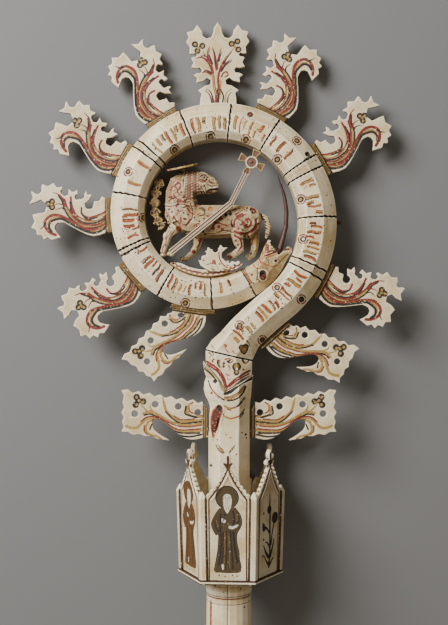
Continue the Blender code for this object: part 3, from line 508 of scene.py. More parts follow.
def bone_finish(name, light, honey, dirt_and_shade=(74, 48, 22), rubbed_and_highlight=(240, 231, 208), wear=0.29):
    """Polished bone with its grain, pores, patina, painted shade, painted highlight on ridges and paint. More
    wear takes more of the paint off.
    """
    made = Finish(name)
    place = made.node("ShaderNodeTexCoord").outputs["Object"]
    broad = made.noise(place, 55.0, 4.0)
    colour = made.mix(made.ramp(broad, 0.35, 0.72), light, honey)
    patina_shade_sheen = made.attribute("patina_shade_sheen")
    # Lighter on ridges, where the patina value is below zero: rubbed wear and painted highlight
    colour = made.mix(made.ramp(patina_shade_sheen, -0.6, -0.1, 0.6, 0.0), colour, rubbed_and_highlight)
    streaks = made.noise(made.grain_place((0.05, 1.1, 1.1)), 1.0, 4.0)
    colour = made.mix(made.ramp(streaks, 0.52, 0.78, 0.0, 0.45), colour, honey)
    mottle = made.noise(place, 420.0, 5.0)
    colour = made.mix(made.ramp(mottle, 0.60, 0.80, 0.0, 0.35), colour, dirt_and_shade)
    pores = made.noise(made.grain_place((0.45, 2.4, 2.4)), 1.0, 1.0)
    colour = made.mix(made.ramp(pores, 0.70, 0.80, 0.0, 0.55), colour, dirt_and_shade)
    patchy = made.noise(place, 300.0, 3.0)
    # Darker where the patina value is high: dirt in hollows, and painted shade on sides turned from the front
    patina_and_shade_share = made.math("MULTIPLY", patina_shade_sheen, made.ramp(patchy, 0.25, 0.65, 0.45, 1.0), clamp=True)
    colour = made.mix(patina_and_shade_share, colour, dirt_and_shade)
    ragged = made.math("MULTIPLY", made.math("SUBTRACT", made.noise(place, 1500.0, 2.0), 0.5), 0.5)
    edge = made.math("ADD", made.attribute("cover"), ragged)
    laid = made.ramp(edge, -0.06, 0.10)
    lost = made.ramp(made.noise(place, 650.0, 4.0), wear, wear + 0.10)
    laid = made.math("MULTIPLY", laid, lost, clamp=True)
    shade = made.noise(place, 900.0, 2.0)
    paint = made.node("ShaderNodeAttribute", attribute_name="paint")
    worn = made.mix(made.ramp(shade, 0.35, 0.75, 0.0, 0.35), paint.outputs["Color"], dirt_and_shade)
    colour = made.mix(laid, colour, worn)
    made.join(colour, made.shader.inputs["Base Color"])
    gilt = made.math("MULTIPLY", paint.outputs["Alpha"], laid, clamp=True)
    made.join(gilt, made.shader.inputs["Metallic"])
    rough = made.math("ADD", made.ramp(mottle, 0.3, 0.8, 0.34, 0.52), made.math("MULTIPLY", patina_and_shade_share, 0.2))
    rough = made.math("ADD", rough, made.math("MULTIPLY", laid, 0.24))
    made.join(rough, made.shader.inputs["Roughness"])
    made.shader.inputs["Specular IOR Level"].default_value = 0.45
    bump = made.node("ShaderNodeBump")
    bump.inputs["Strength"].default_value = 0.35
    bump.inputs["Distance"].default_value = 0.0002
    height = made.math("ADD", made.math("MULTIPLY", streaks, 0.6), made.math("MULTIPLY", pores, -0.7))
    height = made.math("ADD", height, made.math("MULTIPLY", laid, 0.35))
    made.join(height, bump.inputs["Height"])
    made.join(bump.outputs["Normal"], made.shader.inputs["Normal"])
    return made.material


bone = bone_finish("polished_bone", (236, 221, 186), (210, 186, 136))
# A darker copy of the bone, painted shade, for the pieces of the slot of bone in shade
shaded_bone_copy = bone_finish("painted_shade_bone", (220, 204, 166), (180, 154, 104), rubbed_and_highlight=(230, 218, 190))
panel_bone = bone_finish("panel_bone", (230, 216, 182), (192, 166, 116), wear=0.25)
leaf_bone = bone_finish("leaf_bone", (226, 211, 176), (198, 174, 126), rubbed_and_highlight=(234, 222, 194))
tan_bone = bone_finish("tan_bone", (214, 192, 146), (166, 134, 86), rubbed_and_highlight=(226, 210, 170))
wool_bone = bone_finish("wool_bone", (200, 180, 140), (148, 120, 80), rubbed_and_highlight=(212, 197, 164), wear=0.26)
gilt_bone = bone_finish("gilt_bone", (160, 132, 86), (116, 82, 42), rubbed_and_highlight=(186, 160, 108))
red_bone = bone_finish("red_painted_bone", (58, 31, 26), (38, 24, 20), dirt_and_shade=(22, 16, 14), rubbed_and_highlight=(76, 42, 34))


# Pieces


FRONT = (0, 0, 1)
BACK = (0, 0, -1)
LOOKS = {"bone": bone, "bone_in_shade": shaded_bone_copy, "gilt_bone": gilt_bone, "red_bone": red_bone}
SLOTS = {part["node"]: part["material_slot"] for part in frame["record"]["subparts"]}


def hang(piece, look=None):
    """Finish a piece with its slot's own look unless another is given."""
    slot = SLOTS[piece.node]
    return piece.finish(look or LOOKS[slot], slot)


def both_faces(piece, flat, least=0.2):
    return piece.face(flat, FRONT, least), piece.face(flat, BACK, least)


# Leaves, drawn in hundredths of their height

LOBED = """
line red 1.1 4,6 0,15 -3,26 -1,33 3,36 9,36
line gold 0.9 1,8 -2,15 -4,22
line black 0.9 -3,17 -5,26 -3,32 2,36
line red 1.2 -1,6 -7,17 -7,29 -2,40 4,45 13,48 22,49
line gold 0.7 -3,10 -8,20 -8,29 -3,40
line black 1.0 -4,7 -9,17 -10,30 -5,41 4,48 16,50
line red 1.5 -7,6 -12,16 -13,29 -8,41 0,48 10,54 19,57
tail red 1.2 17,56 25,63 28,71
line gold 0.9 -8,6 -14,17 -14,31 -9,43 0,50 9,55
line black 1.0 -10,6 -15,17 -16,31 -9,44 -1,52 8,57 16,59 24,64
line red 1.6 -10.6,6 -17.2,17 -17.2,31 -9.4,46 -2.8,57 0.6,68 -2,76 -8,81 -15,80 -21,75 -24,68
line gold 1.0 -12.6,6 -19.4,17 -20.2,30 -12.4,44 -5.6,57 -2.4,67 -5,74 -11,78
line black 1.4 -14.4,6 -19.2,12 -22,22 -18.2,35 -11.2,48 -4.6,60 -5,67 -8,74 -14,76 -20,73
tail red 0.9 12,57 14,63 13,70
tail black 0.9 7,57 9,60 8,64 6,68
tail black 1.0 -9,80 -14,83 -17,87
dots black 1.75 17,72 14,77 10,72
dots gold 0.7 17,72 14,77 10,72 13.5,73
"""
PALMETTE = """
line red 1.3 3,2 3,12 5,23 6,34 8,42 11,49 15,54
tail red 1.3 13,53 20,57 27,56
tail black 1.0 9,52 15,58 21,59
tail red 1.2 6,38 8,47 11,54 13,61 12,66 10,70
tail black 1.0 7,49 9,55 11,61 10,67
tail red 0.9 15,58 19,65
tail red 1.2 9,36 15,39 20,38
tail black 1.0 9,38 14,41 18,40
line gold 0.9 4,12 6,25 7,36
tail red 1.0 8,1 10,9 13,14 17,16
tail black 1.0 6,2 8,11 11,16 15,18
tail red 1.3 2,42 4,55 5,63 7,69
tail black 0.9 2,45 3,58 5,66
tail red 1.2 1,43 0,55 -4,67
tail black 1.0 -1,52 -3,59 -5,64
line red 1.3 1,2 -1,12 0,27 -1,37 -5,48 -11,57
tail gold 1.3 -9,54 -16,63 -20,68
tail black 0.9 -7,49 -12,57 -17,63
line black 1.0 1,18 0,10 0,2
tail red 1.1 -5,42 -10,50 -17,54
tail black 1.2 -4,40 -9,47 -13,50 -17,52
line red 0.9 -4,33 -6,37 -10,39 -12,35 -9,33
line gold 0.8 -2,6 -3,18 -3,28
line black 0.9 -5,2 -6,9 -3,17
tail gold 1.0 -8,1 -9,10 -12,15 -17,18
tail black 0.9 -11,1 -12,9 -16,14
dots black 1.75 28,73 19,71 25,65 -17,73 -24,76 -25,66
dots gold 0.75 28,73 19,71 25,65 24,69 -17,73 -24,76 -25,66 -21,70
"""
BANDED = """
line red 0.8 8,5 11,15 14,20 20,20 24,16
line gold 1.2 6.5,6 8,17 12,22 18,22 22,19
line black 1.0 6,11 8,19 11,25 19,24
line gold 1.5 3,5 2,18 2,30 7,40 14,47 24,50
tail gold 1.0 24,50 29,51 32,50
line black 0.9 1,6 0,17 -1,29 4,39 13,48
line red 0.7 4.5,14 3.5,29 8,38
line gold 1.4 -1,4 -3,20 -2,33 3,46 10,58 13,66 11,74
line black 1.0 5,55 10,65 9,73
line red 0.7 -3,6 -5,20 -4,33 1,46 8,58
tail gold 1.1 12,62 18,66 22,65
tail gold 1.2 12,68 17,73 21,77
dots black 1.8 30,82 26,80 25,74 21,83
dots gold 0.75 30,82 26,79 24,75 21,82
line gold 1.5 -9,6 -9.5,17 -10,30 -5,43 1,52 5.5,62 4.5,70 -1,76 -6,82 -6,89 -4,94
line red 0.8 -7,7 -8,17 -8,33 0,48 6.5,60 6.5,70 1,77
line black 1.0 -12,8 -12,30 -7,44 -1,53 3,62 1,69
line gold 1.3 0,53 2.5,62 -0.5,69 -9,71 -14,66 -16,58 -19,53
line black 0.9 -2,64 -8,66.5
line red 0.7 -3,73 -10,73 -14,69
line black 1.0 -14,6 -16.5,20 -14,34 -8,46
"""
PATTERNS = {"lobed": LOBED, "palmette": PALMETTE, "banded": BANDED}


def leaf(node):
    """A leaf plate with its bands on both faces and its gilded foot."""
    pattern, height, station, mirrored, lean, lift = LEAVES[node]
    if station is None:
        up = np.array([-1.0 if mirrored else 1.0, 0.0])
        origin = np.array([0.0, SHAFT_LEAF_Y]) + up * (SHAFT_HALF + lift)
    else:
        x, y, heading = crook_at(station)
        up = np.array([math.sin(heading), -math.cos(heading)])
        origin = np.array([x, y]) + up * (tube_half(station) + lift)
    along = np.array([-up[1], up[0]]) * (-1 if mirrored else 1)
    bites = []
    for t, n, radius in LOBE_BITES if pattern == "lobed" else ():
        t, n = t * height / 100, n * height / 100
        swing = math.radians(lean) * min(n / (LEAF_LEAN_FULL_AT * height / 100), 1)
        across, out = t * math.cos(swing) + n * math.sin(swing), n * math.cos(swing) - t * math.sin(swing)
        bites.append((*(origin + along * across + up * out), radius))
    piece = Carving(node, "carved_" + node, LEAF_GRAIN, bites=bites)
    across, out = (piece.points[:, :2] - origin) @ along, (piece.points[:, :2] - origin) @ up
    t, n = across, out
    for _ in range(4):
        swing = math.radians(lean) * np.clip(n / (LEAF_LEAN_FULL_AT * height / 100), 0, 1)
        t = across * np.cos(swing) - out * np.sin(swing)
        n = out * np.cos(swing) + across * np.sin(swing)
    flat = np.column_stack([t, n])
    piece.grain = np.column_stack([n, t, piece.points[:, 2]])
    for face in both_faces(piece, flat):
        piece.draw(face, PATTERNS[pattern], scale=height / 100, bold=LEAF_BOLD)
    # Painted shade on the plate's rims, which face sideways
    rim = np.abs(piece.normals[:, 2]) < 0.55
    piece.patina_shade_sheen[rim] += 0.6
    if pattern != "palmette":
        foot = np.nonzero((out + lift < STRIP_TOP + 1.2) & (np.abs(across) < LEAF_FOOT_HALF))[0]
        rise = out[foot] + lift
        piece.lay(foot, 0.45 - np.abs(rise - STRIP_TOP - 0.2), "black", INCISED)
        strip = foot[rise < STRIP_TOP]
        piece.lay(strip, STRIP_TOP - 0.3 - (out[strip] + lift), "gilt")
        for groove in STRIP_GROOVES:
            piece.lay(strip, 0.3 - np.abs(out[strip] + lift - groove), "olive", CUT)
    return hang(piece, leaf_bone)


# Tubes of the crook: first and last station, body, edge and fleck paints, share of places filled

TUBES = {
    "leg_tube": (-2.8, 76.8, "orange brown gold", 0.95),
    "ring_tube_01": (82.5, 115.5, "orange black gold", 0.85),
    "ring_tube_02": (115.5, 146.8, "orange brown gold", 0.75),
    "ring_tube_03": (154.5, 184.0, "orange brown brown", 0.45),
    "ring_tube_04": (184.0, 214.0, "gold red orange", 0.9),
    "ring_tube_05": (214.0, 244.8, "orange black gold", 0.9),
    "ring_tube_06": (244.8, 274.5, "gold black orange", 1.0),
    "ring_tube_07": (279.2, 309.0, "orange gold orange", 0.6),
    "ring_tube_08": (309.0, 343.8, "orange red brown", 0.8),
    "ring_tube_09": (347.2, 378.5, "orange black brown", 0.8),
    "ring_tube_10": (378.5, 411.8, "gold black orange", 0.8),
    "ring_tube_11": (411.8, 438.8, "gold orange brown", 0.8),
}
SPACERS = {
    "spacer_ring_1": (76.8, 82.5),
    "spacer_ring_2": (146.8, 154.5),
    "spacer_ring_3": (274.5, 279.2),
    "spacer_ring_4": (343.8, 347.2),
}
# Shapes of the marks, plain dashes and waves, in shares along and across the tube
SIGNS = (
    ((-0.3, 0.0), (0.0, 0.25), (0.1, 0.45)),
    ((0.2, 0.5), (0.0, 0.75), (-0.4, 0.95)),
    ((-0.4, 0.95), (0.1, 0.75), (0.2, 0.45), (0.0, 0.15)),
    ((-0.4, 0.05), (0.1, 0.35), (-0.1, 0.65), (0.4, 0.95)),
    ((-0.1, 0.05), (0.3, 0.5), (-0.1, 0.95)),
    ((0.4, 0.1), (-0.3, 0.5), (0.2, 0.95)),
)
SIGN_PITCH = 3.7
SIGN_WIDTH = 1.2
SIGN_LOW = -8.0
SIGN_HIGH = 3.2
SIGN_EDGE = 0.85
SIGN_STRAY = 0.14
FLECKS_PER_SIGN = 7
# Where the marks start after a tube's first station, and end before its last one
SIGNS_AFTER = 3.4
SIGNS_AFTER_ON_LEG = 12.0
SIGNS_BEFORE = 2.6
# Ringed dots: x, y and the paints of the middle, the ring and the outer arcs
EYES = (
    (-12.7, 354.1, "gold", "black", "brown"),
    (-37.4, 345.0, "gold", "brown", "brown"),
    (11.6, 351.9, "gold", "brown", "orange"),
    (33.2, 338.2, "gold", "black", "red"),
    (47.0, 351.5, "gold", "brown", "red"),
    (14.5, 369.4, "orange", "black", "pale"),
    (49.3, 310.7, "gold", "black", "red"),
    (51.0, 283.3, "pale", "black", "red"),
    (-58.9, 298.3, "gold", "brown", "red"),
    (33.0, 250.0, "gold", "black", "red"),
    (7.2, 224.0, "gold", "black", "red"),
    (50.1, 241.8, "olive", "black", "red"),
    (23.2, 213.7, "olive", "brown", "red"),
    (-30.3, 239.3, "gold", "brown", "red"),
    (-69.7, 329.9, "orange", "black", "red"),
)
EYE_RADIUS = 2.15
EYE_MIDDLE = 0.95
EYE_ARC = 3.1
# First and last turn of the arcs round a ringed dot, in degrees
EYE_ARCS = ((20, 130), (160, 250), (275, 350))
PIN_HOLE = (54.1, 342.2)
ELBOW_JOINT = ((-16.2, 207.0), (15.3, 199.6))
LEG_CORNER = (-11.5, 213.0)
LEG_CORNER_REACH = 8.0
LEG_CORNER_SWELL = 1.1
TUBE_GRAIN = 0.40
# Half widths of a joint's stain and of its dark line
JOINT_STAIN = 0.62
JOINT_LINE = 0.38


def rings_of(node, first, last):
    """The stations of the corners that the solid's bend is made of."""
    corners = np.array([TO_CROOK @ vertex.co for vertex in nodes[node].data.vertices]) / MM
    stations = np.sort(along_crook(corners, first, last)[0])
    groups = np.split(stations, np.nonzero(np.diff(stations) > 1.2)[0] + 1)
    return np.array([group.mean() for group in groups if len(group) >= 6])


def round_bend(piece, station, first, last):
    """Carry the surface out from the solid's chords to the true arc."""
    rings = rings_of(piece.node, first, last)
    if len(rings) < 2:
        return
    place = np.clip(np.searchsorted(rings, station) - 1, 0, len(rings) - 2)
    low, high = rings[place], rings[place + 1]
    heading = np.interp(station, LINE_STATIONS, np.unwrap(LINE[:, 2]))
    bend = np.interp(station, LINE_STATIONS, np.gradient(LINE[:, 2], LINE_STEP))
    inside = np.clip(station - low, 0, None) * np.clip(high - station, 0, None)
    rise = inside * bend / 2
    piece.points[:, 0] += rise * np.sin(heading)
    piece.points[:, 1] -= rise * np.cos(heading)


def speck(piece, face, spot, chance, most, paints):
    """A small fleck in one of three paints."""
    piece.dot(face, spot, chance.uniform(0.25, most), paints[chance.integers(3)], INCISED)


def sign(piece, face, place, chance, paints):
    """One mark of a row: a body with a dark edge of paint that also stands for painted shadow, a bright edge
    of paint that also stands for painted highlight, and some flecks.
    """
    body, edge, fleck = paints
    if chance.random() < 0.4:
        body, fleck = fleck, body
    shape = np.array(SIGNS[chance.integers(len(SIGNS))])
    tall = chance.uniform(0.75, 1.0)
    room = SIGN_HIGH - SIGN_LOW
    foot = SIGN_LOW + (1 - tall) * chance.random() * room
    spots = np.column_stack([place + shape[:, 0] * SIGN_WIDTH, foot + shape[:, 1] * tall * room])
    spots += chance.normal(0, SIGN_STRAY, spots.shape)
    # The dark edge line is paint and painted shadow beside the mark, the bright one paint and painted
    # highlight
    aside = np.array([SIGN_EDGE * chance.choice((-1, 1, 1)), 0.2])
    if chance.random() < 0.9:
        piece.line(face, spots - aside, chance.uniform(0.7, 1.3), edge, relief=INCISED)
    if chance.random() < 0.6:
        piece.line(face, spots + aside, chance.uniform(0.4, 0.8), fleck, relief=INCISED)
    piece.line(face, spots, chance.uniform(0.9, 1.7), body, taper=chance.uniform(0.4, 1.1), relief=INCISED)
    for _ in range(FLECKS_PER_SIGN):
        spot = (place + chance.uniform(-1.6, 1.6), chance.uniform(SIGN_LOW - 0.6, SIGN_HIGH + 0.8))
        speck(piece, face, spot, chance, 0.6, (body, edge, fleck))


def eye(piece, face, x, y, middle, ring, arcs):
    """A ringed dot with broken arcs round it."""
    piece.dot(face, (x, y), EYE_RADIUS, ring, INCISED)
    piece.dot(face, (x, y), EYE_MIDDLE, middle)
    for start, end in EYE_ARCS:
        turns = np.radians(np.linspace(start, end, 7))
        arc = np.column_stack([x + EYE_ARC * np.cos(turns), y + EYE_ARC * np.sin(turns)])
        piece.line(face, arc, EYE_MIDDLE, arcs, relief=INCISED, smooth=False)


def ends(piece, station, joints):
    """The dark filled joints at the given stations."""
    everything = np.arange(len(piece.points))
    for joint in joints:
        stray = 0.22 * np.sin(piece.points[:, 0] * 1.7 + piece.points[:, 1] * 1.3 + joint)
        away = np.abs(station - joint)
        piece.lay(everything, JOINT_STAIN + stray - away, "brown", INCISED)
        piece.lay(everything, JOINT_LINE + stray / 2 - away, "black", INCISED)


def elbow_joint(piece):
    """The slanting joint between the leg and the elbow."""
    (x, y), (far_x, far_y) = ELBOW_JOINT
    way = np.array([far_x - x, far_y - y])
    way /= np.hypot(*way)
    away = np.abs((piece.points[:, 0] - x) * way[1] - (piece.points[:, 1] - y) * way[0])
    piece.lay(np.arange(len(piece.points)), 0.55 - away, "black", INCISED)


def fill_corner(piece, offset):
    """Swell the leg's outer corner above the elbow, which is rounder than the solid's."""
    near = np.clip(1 - np.hypot(*(piece.points[:, :2] - LEG_CORNER).T) / LEG_CORNER_REACH, 0, 1)
    swell = LEG_CORNER_SWELL * near * np.clip((-offset - 6) / 5, 0, 1)
    piece.points[:, :2] += swell[:, None] * (-0.7, 0.7)


def age_marks(piece, face, first, last, chance, trace):
    """Four hair cracks, five specks and three traces of paint beside the joints."""
    for _ in range(4):
        start, rail = chance.uniform(first, last - 8), chance.uniform(-11.5, 11.5)
        steps = range(chance.integers(3, 8))
        crack = [(start + 2.5 * i, rail + chance.uniform(-0.2, 0.2)) for i in steps]
        piece.line(face, crack, 0.22, "brown", relief=HAIR)
    for _ in range(5):
        along = chance.uniform(first + 2, last - 2)
        spot = (along, chance.uniform(6.0, 11.5) * chance.choice((-1, 1, 1)))
        speck(piece, face, spot, chance, 0.55, ("red", "black", "brown"))
    for _ in range(3):
        near = chance.choice((first + 0.9, last - 0.9))
        rail = chance.uniform(-10, 8)
        stroke = [(near, rail), (near, rail + chance.uniform(1, 4))]
        piece.line(face, stroke, 0.5, trace, relief=INCISED)


def tube(node, seed):
    """A tube of the crook, with its bend made smooth, its rows of marks and its ringed dots."""
    first, last, paints, fill = TUBES[node]
    paints = paints.split()
    chance = np.random.default_rng(seed)
    piece = Carving(node, "carved_" + node, TUBE_GRAIN, soften=3)
    station, offset = along_crook(piece.points, first, last)
    round_bend(piece, station, first, last)
    if node == "leg_tube":
        fill_corner(piece, offset)
    piece.grain = np.column_stack([station, offset, piece.points[:, 2]])
    flat = np.column_stack([station, offset])
    front, back = both_faces(piece, flat)
    for face in (front, back):
        place = first + (SIGNS_AFTER_ON_LEG if node == "leg_tube" else SIGNS_AFTER)
        while place < last - SIGNS_BEFORE:
            if chance.random() < fill:
                sign(piece, face, place + chance.uniform(-0.3, 0.3), chance, paints)
            place += SIGN_PITCH
        age_marks(piece, face, first, last, chance, paints[2])
    plan_face = piece.face(piece.points[:, :2].copy(), FRONT)
    for x, y, *look in EYES:
        eye(piece, plan_face, x, y, *look)
    piece.dot(plan_face, PIN_HOLE, 1.9, "brown", INCISED)
    piece.dot(plan_face, PIN_HOLE, 1.2, "black", 2 * CUT)
    joints = [first, last]
    if node == "leg_tube":
        piece.draw(plan_face, LEG_FOOT)
        elbow_joint(piece)
        joints = [last]
    ends(piece, station, joints)
    # Darker on the bevels: a stain along them, and painted shade
    piece.patina_shade_sheen += 0.30 * np.clip((np.abs(offset) - 8.6) / 2.5, 0, 1)
    return hang(piece)


def spacer(node, seed):
    """A plain ring between two tubes, with a hair line and a few specks."""
    first, last = SPACERS[node]
    chance = np.random.default_rng(seed)
    piece = Carving(node, "carved_" + node, TUBE_GRAIN)
    station, offset = along_crook(piece.points, first, last)
    piece.grain = np.column_stack([station, offset, piece.points[:, 2]])
    seam = (first + last) / 2 + 0.8
    for face in both_faces(piece, np.column_stack([station, offset])):
        for _ in range(6):
            spot = (chance.uniform(first + 0.6, last - 0.6), chance.uniform(-11, 11))
            speck(piece, face, spot, chance, 0.6, ("brown", "black", "orange"))
        piece.line(face, [(seam, -12), (seam, 12)], 0.25, "brown", relief=HAIR, smooth=False)
    ends(piece, station, [first, last])
    return hang(piece)


# The foot of the leg, the elbow and the dragon that holds it, drawn in mm

LEG_FOOT = """
tail black 0.8 -11.9,210.4 -11.2,208.6 -9.4,207
dots gold 0.7 -11.2,209
dots orange 1.4 -2.6,209.8
tail orange 0.9 -2.4,207.6 -0.8,205.8 1.5,205.2
tail orange 0.9 2.4,206.6 3.6,204.9 6.2,204.6
dots black 2.3 8.8,208.6 11.3,208.9
area black 1 6.6,209.4 8,205.6 10.6,203.6 13,206.4 13.4,209.6 10,209.8
dots gilt 1.5 8.9,208.4 11.2,208.7
area gilt 1 7.6,208.6 8.7,206 10.5,204.6 12.2,206.8 12.4,208.6 10,208.8
dots gold 0.8 9.6,207 10.6,207.6
tail brown 0.9 12.2,213.4 14,211 13.6,209
"""
ELBOW = """
tail black 0.8 -13.8,205 -12.2,203.4 -13.8,201.6
tail orange 0.7 -11.8,205.2 -10.6,203.6 -11.6,202
tail red 1.0 -11.6,199 -10.6,200.8 -9.2,200.4
tail black 1.2 -7.6,199.8 -7.8,197 -6.2,195
tail gold 1.0 -6.4,199.6 -6.6,197 -5.4,195
dots brown 0.8 -3.6,197.8 -3.8,195.6
tail orange 0.9 -2.8,200.4 0.2,201.2 3,200
tail black 1.2 -1,199.2 0.6,198.2 2.6,199.4
dots red 0.7 0.4,199.8
dots black 2.5 5.2,195.4
dots brown 1.9 5.2,195.6
dots gold 1.4 5.2,196
dots pale 0.8 5.2,193.9
dots black 1.6 5,191.4
dots gold 0.8 5,191.7
tail olive 1.3 9.4,199.8 11.6,197.4 14,199.6
dots gold 0.8 11.6,197.8
dots red 0.6 10,193.4
tail red 0.7 -0.6,196.4 0.8,194.4 -0.2,193
tail red 0.8 -1.8,190.4 -0.4,189.4 0.6,190.2
tail red 0.6 -1.2,187.2 0,186.4 1,187.2
"""
LIPS = """
line pale 2.4 -17.4,196.8 -13.2,194.6 -8.8,191.2 -6,187 -3.2,180.6
line pale 2.2 -1,179.8 3,183.4 7,186.4 13.4,188.8
line red 1.2 -16.6,199 -13.7,197.9 -8.3,194.4 -5.2,190.7 -3.1,186.6 -1.7,181
line maroon 0.7 -15,197 -9,193.2 -5.4,188.6 -2.6,182
line red 1.0 -14.8,196.4 -8.9,192.6 -5.2,188.2 -2.5,181.6
line red 1.2 -1.8,180.8 2.3,185.3 6.4,188.2 10.1,190.5 14.6,192.4
line red 0.9 0.4,181.9 4.5,185.3 9.3,188.2 13.8,190.2
cut gold 1.2 -17.4,195.6 -13,192 -9.3,189 -6.3,185.3 -5.6,182.6 -4.1,179.7 -2.6,178.4
line black 1.0 -17,193.8 -12.4,190 -8.4,185.6
line olive 1.3 -2.4,178.4 0.6,179.3 4.5,182.8 8.6,185.7 15.6,188.6
cut black 1.5 -3,176.9 0.4,177.7 4.5,181 8.6,184 16,187
"""
DRAGON = """
pit black 1.1 -10,185.4
line black 0.8 -14.3,185.6 -12.6,180.8 -9.3,177.1 -5.5,174.1 -3.3,172.6
line orange 0.5 -13.4,183.6 -11.8,179.9 -8.6,176.6 -5.2,174.1
line black 0.4 -9.6,176 -7.4,174
dots orange 0.8 -12.1,177.3
line red 0.6 -3.3,174.8 0.4,175.1 4.5,176.8 8.2,179.8 10.8,183
line gold 1.2 -3,173.6 0.6,173.8 4.8,175.5 8.8,178.8 11,181.6
line black 1.0 11.6,181.6 9.6,177.4 6.4,174.4 3,172.8 -1,172.2
line gold 1.1 -3.1,168.5 0.4,166.9 4.1,167.4
line orange 0.8 1.6,166.8 4.4,167.6
line brown 0.6 -1.4,166.4 1.4,165.6
line orange 0.7 5.8,168.6 7.3,170.2 8.8,171.8
line black 1.1 5.4,168.2 7.8,170.2 10.6,173.9
line brown 0.7 -4.1,163.1 -3.6,162.2
line gold 1.1 -3.4,161.8 -1.1,160.4 1.4,159.8
line orange 1.0 1.6,160 4.4,160.6 7.1,161.7
line brown 0.9 7.4,162 9.2,163.8 10.6,166
line black 0.6 6.8,159.8 8.8,161.6 10.2,163.4
ridge bare 1.6 -11.8,165 -13.2,158.5 -12,147.6
ridge bare 1.6 -3.8,166.6 -5.2,161.4 -6.8,155.2 -11.4,146
area orange 1 -11.4,165.4 -7,169.6 -3.9,166.4 -5.2,161.6 -7,155.2 -11,145.6 -13,157
area maroon 1 -10.7,164.6 -7,168.6 -4.9,166 -6,161.6 -7.8,155.6 -11.2,148 -12.2,157.8
pit black 1.6 -6.8,166.9
line orange 0.5 -13.4,163.6 -14.6,157 -13,150
line black 0.6 -4,136 -7.2,138 -9,141.4
line black 0.6 -3.4,136.6 -5.4,139.6 -7.6,141.6
dots gold 1.0 -5,137.9 -6.4,139.4
line black 0.6 -0.6,136 1.8,138 3.8,141.4
line gold 0.6 0,136.8 1.4,139 3,140.4
dots brown 0.9 -12.6,126.9
dots orange 0.5 -2,149 1,146.8 9,150 12,146 -8,145.2
dots brown 0.7 11.6,148.4
dots red 0.5 5,135.4
"""
SOCKET = """
cut brown 0.45 -1.1,50 -1.2,42 -1,34 -1.2,22 -1,2
line orange 0.7 -12.7,34 -12.9,24 -12.8,2
line black 0.4 -12.1,33 -12.3,14
dots brown 0.5 -9.4,44.8 8,43 -4,41.4 10.6,30
dots red 0.8 -12.2,47.4 -11.4,46.6
"""
# Turned lines of the socket and of the knop's base: height, half width, paint and relief
SOCKET_RINGS = (
    (36.6, 0.5, "red", 2 * INCISED),
    (38.0, 0.3, "brown", 2 * INCISED),
    (46.6, 0.4, "brown", 2 * INCISED),
    (32.6, 0.25, "brown", 2 * INCISED),
)
KNOP_BASE_LINES = (
    (53.0, 0.4, "brown", INCISED),
    (51.2, 0.4, "brown", INCISED),
)
DRAWN_BOLD = 1.25


def drawn(node, rows, grain=0.42, upright=True):
    """A piece drawn on its front in plain mm. An upright one has its grain along Y."""
    piece = Carving(node, "carved_" + node, grain)
    if upright:
        piece.grain = piece.points[:, [1, 0, 2]]
    if rows:
        piece.draw(piece.face(piece.points[:, :2].copy(), FRONT, 0.1), rows, bold=DRAWN_BOLD)
    return piece


# Knop, each panel drawn across and up in mm; ROBE and BLACK stand for the panel's own two paints

